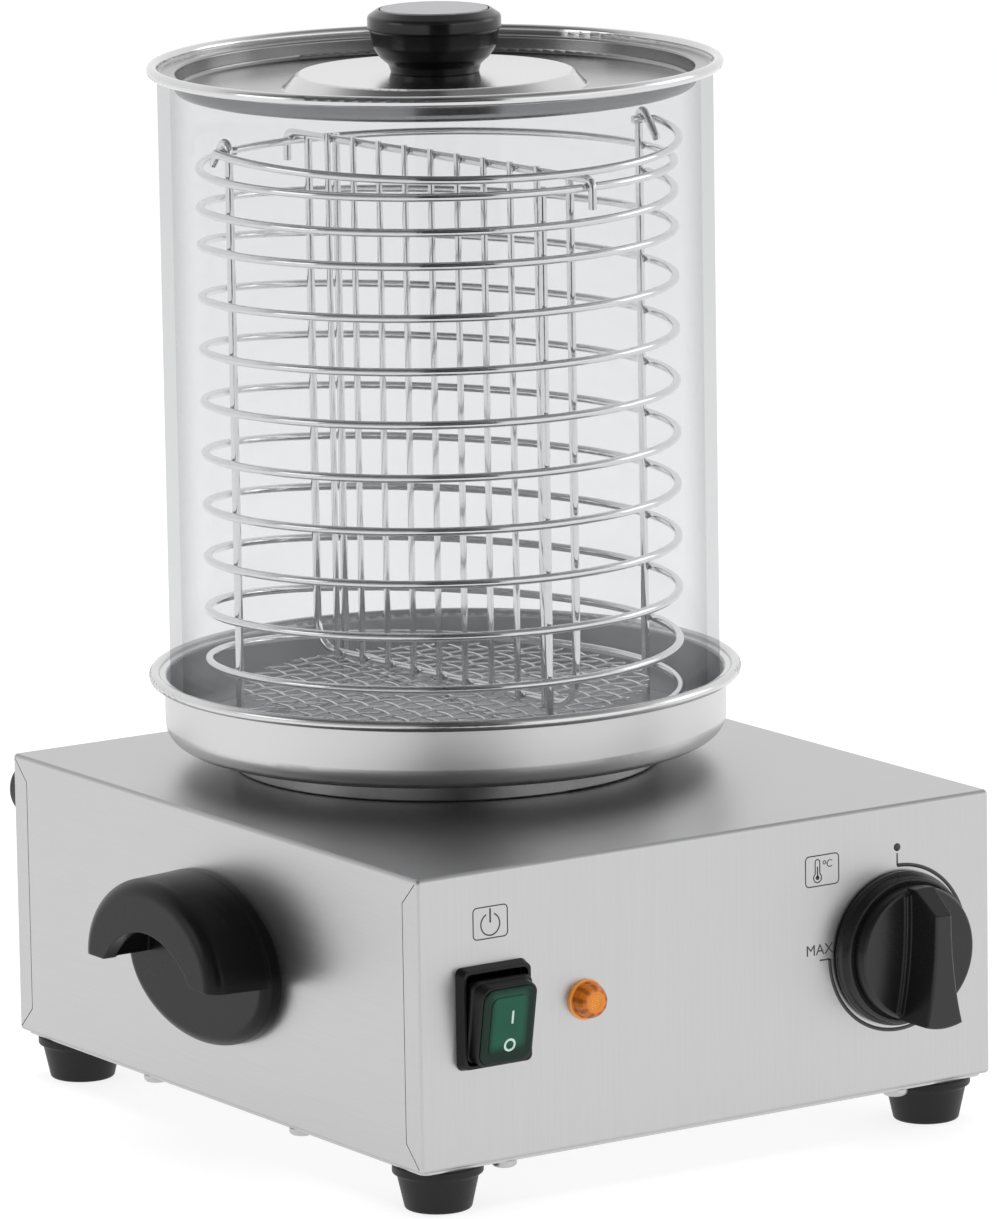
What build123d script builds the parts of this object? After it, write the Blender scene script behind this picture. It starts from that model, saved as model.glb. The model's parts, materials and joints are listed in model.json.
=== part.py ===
from build123d import *
import os
from math import cos, pi, radians, sin, sqrt

# Electric hot dog steamer: a folded steel heater housing on rubber feet carries a round water pan.
# A glass cylinder stands in the pan, a wire basket with a divider stands inside the glass, and a
# pressed lid with a black knob closes it.  Millimetres, +Z up, front towards -Y.  The origin is on
# the standing surface, at the middle of the overall box.

# ---- driving dimensions: housing -------------------------------------------------------------
HOUSING_W = 244.0          # left to right
HOUSING_D = 271.0          # front to rear
HOUSING_H = 104.0
HOUSING_Y = 8.5            # middle of the housing, front to rear
SHEET = 1.0                # steel sheet of the housing
BEND_R = 1.5               # outer radius of its bends
FLANGE = 11.0              # width of the folded-in bottom flange
SEAM_INSET = 9.5           # width of the corner tabs on the side walls
SEAM_GAP = 0.35
FOOT_H = 16.0
BASE_Z = FOOT_H + SHEET    # underside of the housing, on top of the base plate
TOP_Z = BASE_Z + HOUSING_H
FRONT_Y = HOUSING_Y - HOUSING_D / 2
REAR_Y = HOUSING_Y + HOUSING_D / 2

# ---- driving dimensions: feet and fasteners ---------------------------------------------------
FOOT_X = 105.0
FOOT_OFFSET_Y = 119.5
FOOT_TOP_R = 16.0
FOOT_BOTTOM_R = 11.7
FOOT_LIP_H = 3.0
FOOT_RECESS_R = 6.0
FOOT_RECESS_H = 8.0
M5_R = 2.45
M5_HEAD_R = 5.0
M5_HEAD_H = 3.0
M5_NUT_AF = 8.0
M5_NUT_H = 4.0
M4_R = 1.9
M4_HEAD_R = 4.0
M4_HEAD_H = 2.4
SCREW_FIT = 0.08           # radial room between a shank and its plain hole
BASE_SCREW_SIDE = (116.0, 49.0)
BASE_SCREW_END = (84.0, 129.5)
BASE_SCREW_HEAD_R = 4.5

# ---- driving dimensions: front controls -------------------------------------------------------
SWITCH_X = -92.2
SWITCH_Z = 69.8
LAMP_X = -53.0
LAMP_Z = 69.5
DIAL_X = 81.4
DIAL_Z = 69.0
SWITCH_TILT = 10.0         # the rocker leans this much each way
ROCKER_PIVOT_N = 1.0       # pivot, out from the panel
KNOB_REACH = 28.0          # knob front, out from the panel
DIAL_SCREW_PITCH = 28.0

# ---- driving dimensions: handles, bumpers, cord gland ------------------------------------------
HANDLE_Z = BASE_Z + 50.0   # straight lower edge of the hood
HANDLE_REACH = 27.0
HANDLE_SCREW_U = 38.0
HANDLE_SCREW_V = 8.0
BUMPER_X = 109.5
BUMPER_Z = 106.2
BUMPER_R = 11.5
BUMPER_REACH = 11.0
GLAND_X = 60.0
GLAND_Z = 42.0

# ---- driving dimensions: pan, heater and glass, round the upright axis --------------------------
AXIS_Y = 39.5
HEATER_HOLE_R = 75.0
COLLAR_R = 78.2
COLLAR_H = 5.5
PLATE_R = 77.5
PLATE_T = 3.0
COLLAR_TOP = TOP_Z + COLLAR_H
PLATE_TOP = COLLAR_TOP + PLATE_T
PAN_R = 102.2
PAN_SHEET = 1.0
PAN_CORNER_R = 8.0
PAN_BEAD_R = 2.0
PAN_BEAD_RING = 105.8
PAN_BEAD_Z = 154.2
PAN_FLOOR = PLATE_TOP + PAN_SHEET
GLASS_R = 100.0
GLASS_WALL = 4.5
GLASS_BOTTOM = 132.6       # the tube's rounded foot rests in the pan's corner radius
GLASS_TOP = 373.5
ELEMENT_RING = 52.0
ELEMENT_R = 3.25

# ---- driving dimensions: basket, divider and bail ----------------------------------------------
WIRE_R = 1.5
RING_R = 85.6
RING_PITCH = 19.05
UPRIGHT_R = RING_R - 2 * WIRE_R
BASKET_TURN = -6.6         # turn of the uprights about the axis, degrees
DIVIDER_TURN = 5.0
HOOP_Z = 339.5             # closed hoop at the top of the basket
COIL_START_Z = 330.0       # the coil starts at the right upright, under the hoop
COIL_LEFT_Z = 326.6        # and is this high when it first reaches the left upright
COIL_FIRST_DROP = 12.8
COIL_TURNS = 8
COIL_LAST_DROP = 17.0
COIL_STEEP_AT = 0.19       # share of a turn, clockwise from the left upright, where it drops fastest
COIL_SWINGS = (1.15, 0.35) # how far its slope swings about the mean, once and twice a turn
COIL_STEPS = 24
CROSS_WIRE_Z = 146.0
MESH_R = 74.3
MESH_WIRE_R = 0.5
MESH_PITCH = 8.5
DIVIDER_SIDE = 76.0
DIVIDER_BOTTOM_Z = 151.0
DIVIDER_TOP_Z = 342.5
DIVIDER_HOOK_T = 88.7
DIVIDER_WIRE_R = 1.2
DIVIDER_PITCH = 15.2
DIVIDER_WIRES = 9
HOOK_BEND_R = 3.2
BAIL_R = 87.3
BAIL_CORNER_R = 3.5
BAIL_Z = 349.8
BAIL_TURN = BASKET_TURN - 2.2
BAIL_DROOP = 2.90          # the bail hangs this much below level at rest, degrees
BAIL_PIN_END = 78.5

# ---- driving dimensions: lid -------------------------------------------------------------------
LID_SHEET = 0.8
LID_BEAD_R = 1.95
LID_BEAD_RING = 101.87
LID_RIM_R = 94.2           # outer face of the part that drops into the glass
LID_FLOOR_Z = 367.8
LID_DISH_R = 55.0
LID_PLATEAU_R = 50.0
LID_PLATEAU_Z = 373.0
TOTAL_H = 396.0

BOTTOM = (Align.CENTER, Align.CENTER, Align.MIN)
FRONT = Plane(origin=(0, FRONT_Y, 0), x_dir=(1, 0, 0), z_dir=(0, -1, 0))
REAR = Plane(origin=(0, REAR_Y, 0), x_dir=(-1, 0, 0), z_dir=(0, 1, 0))
RIGHT = Plane(origin=(HOUSING_W / 2, HOUSING_Y, 0), x_dir=(0, 1, 0), z_dir=(1, 0, 0))
AXIS = Pos(0, AXIS_Y, 0)


# ---- shared shapes ------------------------------------------------------------------------------

def turned(points, radii=0.0):
    """Solid turned about the upright axis from (radius, height) points, corners rounded by radii."""
    outline = FilletPolyline(*points, radius=radii, close=True)
    return revolve(make_face(Plane.XZ * outline), Axis.Z)


def disc(radius, bottom, top):
    """Plain round slab from one height to another."""
    return Pos(0, 0, bottom) * Cylinder(radius, top - bottom, align=BOTTOM)


def tube(outer, inner, bottom, top):
    """Round slab with a hole through it."""
    return disc(outer, bottom, top) - disc(inner, bottom - 1, top + 1)


def rod(start, end, radius):
    """Straight round wire between two points."""
    way = Vector(*end) - Vector(*start)
    return Plane(origin=start, z_dir=way) * Cylinder(radius, way.length, align=BOTTOM)


def bent_wire(path, radius):
    """Round wire swept along a path of lines and arcs."""
    route = Wire(path.edges())
    section = Plane(origin=route @ 0, z_dir=route % 0) * Circle(radius)
    return sweep(section, path=route)


def panhead(shank_r, length, head_r, head_h):
    """Screw along +Z: rounded head above z = 0, shank below it."""
    head = fillet(disc(head_r, 0, head_h).edges().group_by(Axis.Z)[-1], head_h * 0.6)
    slot = Pos(0, 0, head_h) * Box(head_r * 1.1, head_r * 0.22, head_h)
    cross = Pos(0, 0, head_h) * Box(head_r * 0.22, head_r * 1.1, head_h)
    return head + disc(shank_r, -length, 0) - slot - cross


def hex_nut(across_flats, bore_r, height):
    """Hexagon nut standing on z = 0."""
    body = extrude(RegularPolygon(across_flats / 2, 6, major_radius=False), height)
    cone = turned([(0, 0), (across_flats / 2, 0), (across_flats * 0.58, 0.35),
                   (across_flats * 0.58, height - 0.35), (across_flats / 2, height), (0, height)])
    return (body & cone) - disc(bore_r, -1, height + 1)


def blade(width, thick, length):
    """Flat push-on terminal along +Z with a hole and a chamfered end."""
    tab = Box(width, thick, length, align=BOTTOM)
    tab = chamfer(tab.edges().filter_by(Axis.Y).group_by(Axis.Z)[-1], 1.2)
    return tab - Pos(0, 0, length * 0.6) * Rot(90, 0, 0) * Cylinder(0.8, 4 * thick)


# ---- housing ------------------------------------------------------------------------------------

def seam_lines():
    """Joints of the corner tabs folded back on to each side wall, at the front and rear ends."""
    high = TOP_Z - BEND_R
    low = BASE_Z + BEND_R
    cuts = []
    for end in (-1, 1):
        edge = HOUSING_Y + end * (HOUSING_D / 2 - BEND_R)
        inner = HOUSING_Y + end * (HOUSING_D / 2 - SEAM_INSET)
        step = SEAM_INSET - BEND_R
        line = Polyline((edge, high), (inner, high - step), (inner, low + step), (edge, low))
        face = Plane.YZ * trace(line, line_width=SEAM_GAP)
        for side in (-1, 1):
            cuts.append(Pos(side * HOUSING_W / 2, 0, 0) * extrude(face, amount=2 * SHEET, both=True))
    return cuts


def flange_mitres():
    """Open mitres between the four strips of the bottom flange."""
    cuts = []
    for x in (-1, 1):
        for y in (-1, 1):
            outer = (x * (HOUSING_W / 2 - BEND_R - 1), y * (HOUSING_D / 2 - BEND_R - 1))
            inner = (x * (HOUSING_W / 2 - FLANGE - 1), y * (HOUSING_D / 2 - FLANGE - 1))
            face = trace(Line(outer, inner), line_width=SEAM_GAP)
            cuts.append(Pos(0, HOUSING_Y, BASE_Z) * extrude(face, amount=SHEET / 2 + BEND_R, both=True))
    return cuts


def panel_openings():
    """Cut-outs for the switch, lamp, thermostat, handles, bumpers and cord gland."""
    deep = 4 * SHEET
    cuts = [FRONT * Pos(SWITCH_X, SWITCH_Z, 0) * Box(28.0, 33.0, deep)]
    cuts.append(FRONT * Pos(LAMP_X, LAMP_Z, 0) * Cylinder(5.0, deep))
    cuts.append(FRONT * Pos(DIAL_X, DIAL_Z, 0) * Cylinder(5.0, deep))
    for side in (-1, 1):
        at = Pos(DIAL_X + side * DIAL_SCREW_PITCH / 2, DIAL_Z, 0)
        cuts.append(FRONT * at * Cylinder(M4_R + SCREW_FIT, deep))
        cuts.append(REAR * Pos(side * BUMPER_X, BUMPER_Z, 0) * Cylinder(M4_R + SCREW_FIT, deep))
        screw = RIGHT * Pos(side * HANDLE_SCREW_U, HANDLE_Z + HANDLE_SCREW_V, 0)
        hole = screw * Cylinder(M4_R + SCREW_FIT, deep)
        cuts += [hole, mirror(hole, about=Plane.YZ)]
    cuts.append(REAR * Pos(-GLAND_X, GLAND_Z, 0) * Cylinder(8.0, deep))
    return cuts


def base_screw_places():
    """Eight screw centres along the four strips of the flange."""
    near = [(sx * BASE_SCREW_SIDE[0], sy * BASE_SCREW_SIDE[1]) for sx in (-1, 1) for sy in (-1, 1)]
    far = [(sx * BASE_SCREW_END[0], sy * BASE_SCREW_END[1]) for sx in (-1, 1) for sy in (-1, 1)]
    return near + far


def housing_shell():
    """Five-sided folded steel box with an inward flange round its open bottom."""
    place = Pos(0, HOUSING_Y, BASE_Z)
    outer = fillet((place * Box(HOUSING_W, HOUSING_D, HOUSING_H, align=BOTTOM)).edges(), BEND_R)
    hollow = Box(HOUSING_W - 2 * SHEET, HOUSING_D - 2 * SHEET, HOUSING_H - 2 * SHEET, align=BOTTOM)
    hollow = fillet((Pos(0, HOUSING_Y, BASE_Z + SHEET) * hollow).edges(), BEND_R - SHEET)
    mouth = place * Box(HOUSING_W - 2 * FLANGE, HOUSING_D - 2 * FLANGE, 4 * SHEET)
    shell = outer - hollow - mouth - AXIS * disc(HEATER_HOLE_R, TOP_Z - 2 * SHEET, TOP_Z + 1)
    shell = shell - panel_openings() - seam_lines() - flange_mitres()
    screws = [place * Pos(x, y, 0) * Cylinder(2.0, 4 * SHEET) for x, y in base_screw_places()]
    return shell - screws


def foot_places():
    """Centres of the four feet."""
    return [(x * FOOT_X, HOUSING_Y + y * FOOT_OFFSET_Y) for y in (-1, 1) for x in (-1, 1)]


def base_plate():
    """Flat bottom plate with vent slots, screwed under the flange."""
    outline = RectangleRounded(HOUSING_W - 4, HOUSING_D - 4, 3.0)
    plate = Pos(0, HOUSING_Y, FOOT_H) * extrude(outline, SHEET)
    cuts = [Pos(0, HOUSING_Y, FOOT_H) * Pos(x, y, 0) * Cylinder(2.25, 4) for x, y in base_screw_places()]
    cuts += [Pos(x, y, FOOT_H) * Cylinder(2.7, 4) for x, y in foot_places()]
    slot = extrude(SlotOverall(30.0, 3.0), 2, both=True)
    for x in (-50, 50):
        for row in range(7):
            cuts.append(Pos(x, HOUSING_Y + 42 + (row - 3) * 8.0, FOOT_H) * slot)
    cuts.append(Pos(-60, REAR_Y - 34, FOOT_H) * Cylinder(2.1, 4))
    cuts.append(Pos(30, REAR_Y - 34, FOOT_H) * Cylinder(1.6, 4))
    return plate - cuts


def base_screws():
    """Eight dome-head screws that hold the base plate to the flange."""
    screw = panhead(1.95, 8.0, BASE_SCREW_HEAD_R, 2.6)
    under = Plane(origin=(0, HOUSING_Y, FOOT_H), x_dir=(1, 0, 0), z_dir=(0, 0, -1))
    return [under * Pos(x, y, 0) * screw for x, y in base_screw_places()]


def foot(place):
    """Tapered rubber foot with a top lip and a screw recess from below."""
    neck_r = FOOT_TOP_R - 1.6
    profile = [(2.6, FOOT_H), (FOOT_TOP_R, FOOT_H), (FOOT_TOP_R, FOOT_H - FOOT_LIP_H),
               (neck_r, FOOT_H - FOOT_LIP_H - 0.8), (FOOT_BOTTOM_R, 0), (FOOT_RECESS_R, 0),
               (FOOT_RECESS_R, FOOT_RECESS_H), (2.6, FOOT_RECESS_H)]
    return Pos(*place, 0) * turned(profile, [0, 0.6, 0.8, 0.8, 1.2, 0.4, 0.4, 0])


def foot_screws():
    """M5 screws up through the feet."""
    screw = panhead(M5_R, 14.0, M5_HEAD_R, M5_HEAD_H)
    return [Pos(x, y, FOOT_RECESS_H) * Rot(180, 0, 0) * screw for x, y in foot_places()]


def foot_nuts():
    """Nuts of the foot screws, on top of the base plate."""
    nut = hex_nut(M5_NUT_AF, M5_R + SCREW_FIT, M5_NUT_H)
    return [Pos(x, y, BASE_Z) * Rot(0, 0, 30) * nut for x, y in foot_places()]


# ---- side handles -------------------------------------------------------------------------------

def oval(half_width, up, down):
    """Face bounded above and below the x axis by two half ellipses."""
    top = EllipticalCenterArc((0, 0), half_width, up, start_angle=0, arc_size=180)
    bottom = EllipticalCenterArc((0, 0), half_width, down, start_angle=180, arc_size=180)
    return make_face([top, bottom])


def half_oval(half_width, up):
    """Face between the x axis and a half ellipse above it."""
    top = EllipticalCenterArc((0, 0), half_width, up, start_angle=0, arc_size=180)
    return make_face([top, Line((-half_width, 0), (half_width, 0))])


def handle_right():
    """Shell-shaped pull: an oval wall plate with a hood above it, hollow and open below for fingers."""
    plate_n = 7.0
    rim = extrude(oval(47.0, 33.8, 28.2), plate_n)
    rim = fillet(rim.edges().group_by(Axis.Z)[-1], 4.0)
    hood = loft([half_oval(47.0, 33.8), Pos(0, 0, HANDLE_REACH) * half_oval(43.5, 33.0)])
    crest = hood.edges().group_by(Axis.Z)[-1].sort_by(SortBy.LENGTH)[-1]
    hood = fillet(crest, 6.0)
    cavity = Pos(0, 0, plate_n) * extrude(half_oval(31.0, 24.0), HANDLE_REACH - 5 - plate_n)
    cavity = fillet(cavity.edges().group_by(Axis.Z)[-1].sort_by(SortBy.LENGTH)[-1], 3.0)
    arch_r = (29.0 ** 2 + 14.5 ** 2) / (2 * 14.5)
    arch = Pos(0, 14.5 - arch_r, HANDLE_REACH) * Cylinder(arch_r, 12.0)
    body = rim + hood - cavity - arch
    for side in (-1, 1):
        body = body - Pos(side * HANDLE_SCREW_U, HANDLE_SCREW_V, 0) * disc(M4_R + SCREW_FIT, -1, 12.5)
    return RIGHT * Pos(0, HANDLE_Z, 0) * body


def handle_left():
    """The same pull on the left wall."""
    return mirror(handle_right(), about=Plane.YZ)


def handle_screws():
    """Four screws from inside the housing into the handles."""
    screw = Pos(0, 0, -SHEET) * Rot(180, 0, 0) * panhead(M4_R, 12.0, M4_HEAD_R, M4_HEAD_H)
    right = [RIGHT * Pos(side * HANDLE_SCREW_U, HANDLE_Z + HANDLE_SCREW_V, 0) * screw for side in (-1, 1)]
    return right + [mirror(one, about=Plane.YZ) for one in right]


# ---- power switch -------------------------------------------------------------------------------

SWITCH = FRONT * Pos(SWITCH_X, SWITCH_Z, 0)
SWITCH_MOUTH = (24.7, 30.8)
SWITCH_DEPTH = 22.0
ROCKER_PIN_R = 1.5


def switch_housing():
    """Moulded switch box behind the panel with a tapered bezel in front of it."""
    bezel = loft([RectangleRounded(29.5, 36.5, 2.5), Pos(0, 0, 4.0) * RectangleRounded(27.9, 34.6, 2.2)])
    box = Pos(0, 0, -SWITCH_DEPTH) * extrude(RectangleRounded(27.6, 32.6, 1.0), SWITCH_DEPTH)
    mouth = Pos(0, 0, -11.0) * extrude(RectangleRounded(*SWITCH_MOUTH, 1.5), 20.0)
    mouth = mouth + extrude(RectangleRounded(25.6, 32.2, 2.0), 9.0)
    pins = Pos(0, 0, ROCKER_PIVOT_N) * Rot(0, 90, 0) * Cylinder(ROCKER_PIN_R + 0.05, 26.8)
    body = bezel + box - mouth - pins
    latch = Polyline((16.3, -SHEET), (17.6, -SHEET - 0.4), (16.3, -8.0), close=True)
    wedge = extrude(make_face(Plane.YZ * latch), amount=5.0, both=True)
    return SWITCH * (body + wedge + mirror(wedge, about=Plane.XZ))


def switch_terminals():
    """Four blade terminals out of the back of the switch."""
    tabs = []
    for x in (-6.5, 6.5):
        for z in (-9.0, 9.0):
            tabs.append(SWITCH * Pos(x, z, -SWITCH_DEPTH) * Rot(180, 0, 90) * blade(6.3, 0.8, 9.0))
    return tabs


def rocker_in_place(body):
    """Lean a rocker part about its pivot so that the lower, off, end is pressed in."""
    return SWITCH * Pos(0, 0, ROCKER_PIVOT_N) * Rot(SWITCH_TILT, 0, 0) * body


def power_rocker():
    """Black rocker with a ridged soft skirt and two pivot pins, hollow behind."""
    front = 9.0
    back = -4.0
    root = loft([Pos(0, 0, back) * RectangleRounded(22.6, 26.0, 2.0),
                 Pos(0, 0, 3.2) * RectangleRounded(23.2, 28.0, 2.6)])
    ridge = Pos(0, -0.2, 2.8) * extrude(RectangleRounded(24.8, 30.4, 3.2), 1.6)
    ridge = fillet(ridge.edges().group_by(Axis.Z)[-1], 0.6)
    block = loft([Pos(0, -0.3, 4.0) * RectangleRounded(23.6, 29.6, 4.0),
                  Pos(0, -0.3, front) * RectangleRounded(23.0, 29.4, 4.4)])
    block = fillet(block.edges().group_by(Axis.Z)[-1], 0.6)
    seat = Pos(0, -0.3, front - 2.0) * extrude(RectangleRounded(21.2, 27.8, 4.1), 3.0)
    hollow = Pos(0, 0, back - 1) * extrude(RectangleRounded(19.0, 22.0, 2.0), front - 4.0 - back + 1)
    pins = Rot(0, 90, 0) * Cylinder(ROCKER_PIN_R, 26.4)
    pins = pins - Box(20.0, 4.0, 4.0)
    return rocker_in_place(root + ridge + block - seat - hollow + pins)


def power_button():
    """Green translucent button set into the rocker, with a raised middle field."""
    front = 9.0
    pad = Pos(0, -0.3, front - 2.0) * extrude(RectangleRounded(21.0, 27.6, 4.0), 2.6)
    pad = fillet(pad.edges().group_by(Axis.Z)[-1], 0.5)
    field = Pos(0, -0.3, front + 0.4) * extrude(RectangleRounded(15.0, 21.6, 3.0), 0.6)
    return rocker_in_place(pad + fillet(field.edges().group_by(Axis.Z)[-1], 0.25))


# ---- pilot lamp ---------------------------------------------------------------------------------

LAMP = FRONT * Pos(LAMP_X, LAMP_Z, 0)


def lamp_lens():
    """Amber lens: thin flange, domed cap and ringed front."""
    profile = [(0, 0), (7.25, 0), (7.25, 1.2), (6.05, 1.2), (6.05, 4.4), (4.9, 6.4), (3.3, 6.8),
               (2.5, 6.8), (2.5, 6.5), (0, 6.5)]
    return LAMP * turned(profile, [0, 0, 0.5, 0.3, 1.4, 1.4, 0.3, 0.15, 0, 0])


def lamp_body():
    """Lamp barrel through the panel with its two blade terminals."""
    barrel = disc(4.9, -26.0, 0) + disc(4.0, -30.0, -26.0)
    tabs = [Pos(x, 0, -30.0) * Rot(180, 0, 90) * blade(2.8, 0.5, 7.0) for x in (-2.2, 2.2)]
    return LAMP * (barrel + tabs)


def lamp_nut():
    """Ring nut that clamps the lamp behind the panel."""
    return LAMP * Pos(0, 0, -SHEET - 4.0) * hex_nut(14.0, 4.95, 4.0)


# ---- thermostat ---------------------------------------------------------------------------------

DIAL = FRONT * Pos(DIAL_X, DIAL_Z, 0)
DIAL_DEPTH = 26.0
SHAFT_R = 3.0
SHAFT_FLAT = 1.5           # distance of the D flat from the shaft's axis


def shaft_blank(radius, bottom, top):
    """Round shaft with a D flat along its whole length."""
    return disc(radius, bottom, top) - Pos(0, -SHAFT_FLAT - radius, 0) * Box(4 * radius, 2 * radius, 200)


def grip_section(swell):
    """Outline of the grip bar, flaring towards the bottom of the knob, made wider all along by swell."""
    right = Spline((3.6 + swell, 25.5), (3.8 + swell, 3.0), (5.7 + swell, -13.0), (8.6 + swell, -26.0))
    left = mirror(right, about=Plane.YZ)
    return make_face([right, Line(right @ 1, left @ 1), left, Line(left @ 0, right @ 0)])


def thermostat_knob():
    """Stepped flange and flat-faced drum, and across it a bold flaring grip bar on a ledge; hollow behind."""
    face_n = 13.0
    drum = turned([(0, 0.8), (27.9, 0.8), (27.9, 2.6), (26.9, 3.2), (26.3, 7.2), (24.9, 7.2), (24.7, 6.5),
                   (24.35, 6.5), (24.0, face_n), (0, face_n)], [0, 0.3, 0.5, 0.3, 0.7, 0.2, 0.1, 0.1, 1.2, 0])
    bar = loft([Pos(0, 0, face_n - 1) * grip_section(0.9), Pos(0, 0, KNOB_REACH) * grip_section(0)])
    bar = bar & disc(24.6, 0, KNOB_REACH)
    slope = Polyline((27.5, 12.0), (27.5, 40.0), (16.3, 40.0), (16.3, KNOB_REACH), close=True)
    bar = bar - extrude(make_face(Plane.YZ * slope), amount=20.0, both=True)
    bar = fillet(bar.edges().group_by(Axis.Z)[-1], 0.9)
    ledge = loft([Pos(0, 0, face_n - 1) * grip_section(3.2), Pos(0, 0, face_n + 1.2) * grip_section(2.6)])
    ledge = ledge & disc(22.6, 0, KNOB_REACH)
    hollow = turned([(5.2, 0), (24.4, 0), (22.6, 10.0), (5.2, 10.0)], [0, 0, 1.5, 0])
    bore = shaft_blank(SHAFT_R + 0.03, 0, 11.0)
    return DIAL * (drum + bar + ledge - hollow - bore)


def thermostat_shaft():
    """D shaft that the knob is pushed on to."""
    return DIAL * shaft_blank(SHAFT_R, -8.0, 10.5)


def thermostat_body():
    """Thermostat behind the panel: bushing, metal cup and moulded terminal base."""
    bushing = disc(4.8, -SHEET, 0)
    cup = turned([(0, -11.0), (17.0, -11.0), (17.0, -SHEET), (0, -SHEET)], [0, 1.0, 1.5, 0])
    ears = extrude(SlotOverall(38.0, 9.0), 1.5)
    ears = Pos(0, 0, -SHEET - 1.5) * ears
    base = Pos(0, 0, -DIAL_DEPTH) * extrude(RectangleRounded(34.0, 30.0, 2.0), 15.0)
    body = bushing + cup + ears + base - disc(SHAFT_R + 0.05, -8.5, 1)
    for side in (-1, 1):
        body = body - Pos(side * DIAL_SCREW_PITCH / 2, 0, 0) * disc(M4_R + SCREW_FIT, -7.0, 1)
    for x in (-8.0, 8.0):
        body = body + Pos(x, 0, -DIAL_DEPTH) * Rot(180, 0, 90) * blade(6.3, 0.8, 9.0)
    return DIAL * body


def thermostat_screws():
    """Two screws from the front, hidden under the knob."""
    screw = panhead(M4_R, 6.5, M4_HEAD_R, M4_HEAD_H)
    return [DIAL * Pos(side * DIAL_SCREW_PITCH / 2, 0, 0) * screw for side in (-1, 1)]


# ---- rear bumpers and cord gland ----------------------------------------------------------------

def rear_bumper(side):
    """Domed rubber wall bumper with a blind screw hole."""
    profile = [(0, 0), (BUMPER_R, 0), (BUMPER_R, 4.5), (7.5, BUMPER_REACH), (0, BUMPER_REACH)]
    dome = turned(profile, [0, 0.4, 3.5, 3.5, 0]) - disc(M4_R + SCREW_FIT, -1, 6.0)
    return REAR * Pos(side * BUMPER_X, BUMPER_Z, 0) * dome


def bumper_screws():
    """Screws from inside the rear wall into the bumpers."""
    screw = Pos(0, 0, -SHEET) * Rot(180, 0, 0) * panhead(M4_R, 6.5, M4_HEAD_R, M4_HEAD_H)
    return [REAR * Pos(side * BUMPER_X, BUMPER_Z, 0) * screw for side in (-1, 1)]


def cord_gland():
    """Cable gland through the rear wall: hexagon, dome cap, threaded barrel and cord hole."""
    flange = extrude(RegularPolygon(9.5, 6, major_radius=False), 4.0)
    cap = turned([(0, 4.0), (8.6, 4.0), (8.6, 6.5), (6.5, 9.0), (0, 9.0)], [0, 0, 1.0, 1.0, 0])
    barrel = disc(7.8, -9.0, 0)
    return REAR * Pos(-GLAND_X, GLAND_Z, 0) * (flange + cap + barrel - disc(4.0, -10, 10))


def gland_nut():
    """Nut of the cord gland inside the rear wall."""
    return REAR * Pos(-GLAND_X, GLAND_Z, -SHEET - 4.5) * hex_nut(21.0, 7.85, 4.5)


# ---- heater inside the housing ------------------------------------------------------------------

SHIELD_FLOOR = TOP_Z - 14.0
STUD_R = 2.95
LEG_TURN = 24.0            # half the gap between the element's two legs, degrees
LEG_DEPTH = 22.0
CAPILLARY_AT = (37.0, -28.0)   # where the sensor's tube goes down, from the upright axis


def support_collar():
    """Flanged ring that stands on the housing top and carries the heat plate."""
    wall = 1.0
    profile = [(HEATER_HOLE_R, TOP_Z), (COLLAR_R, TOP_Z), (COLLAR_R, COLLAR_TOP), (71.0, COLLAR_TOP),
               (71.0, COLLAR_TOP - wall), (COLLAR_R - wall, COLLAR_TOP - wall),
               (COLLAR_R - wall, TOP_Z + wall), (HEATER_HOLE_R, TOP_Z + wall)]
    return AXIS * turned(profile, [0, 0.8, 0.8, 0, 0, 0, 0, 0])


def heat_plate():
    """Cast heat plate under the pan."""
    profile = [(0, COLLAR_TOP), (PLATE_R, COLLAR_TOP), (PLATE_R, PLATE_TOP), (0, PLATE_TOP)]
    return AXIS * turned(profile, [0, 0.3, 0.5, 0])


def leg_points():
    """Plan positions of the two element legs."""
    return [(ELEMENT_RING * sin(radians(t)), ELEMENT_RING * cos(radians(t))) for t in (-LEG_TURN, LEG_TURN)]


def heating_element():
    """Tubular element: a ring under the heat plate with both ends turned down through the shield."""
    height = COLLAR_TOP - ELEMENT_R
    arc = CenterArc((0, 0), ELEMENT_RING, 90 + LEG_TURN + 9, 360 - 2 * (LEG_TURN + 9))
    ring = bent_wire(Pos(0, 0, height) * arc, ELEMENT_R)
    legs = []
    for side, (x, y) in zip((-1, 1), leg_points()):
        end = Vector(*((Pos(0, 0, height) * arc) @ (0 if side < 0 else 1)))
        legs.append(bent_leg(end, x, y, height))
    return AXIS * (ring + legs)


def bent_leg(end, x, y, height):
    """One end of the element: a short run past the ring, then a tight bend downwards."""
    path = FilletPolyline(tuple(end), (x, y, height), (x, y, height - LEG_DEPTH), radius=5.0)
    return bent_wire(path, ELEMENT_R)


def element_terminals():
    """Threaded ends of the element below the shield."""
    low = COLLAR_TOP - ELEMENT_R - LEG_DEPTH
    return [AXIS * Pos(x, y, 0) * disc(2.0, low - 10.0, low) for x, y in leg_points()]


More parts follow.
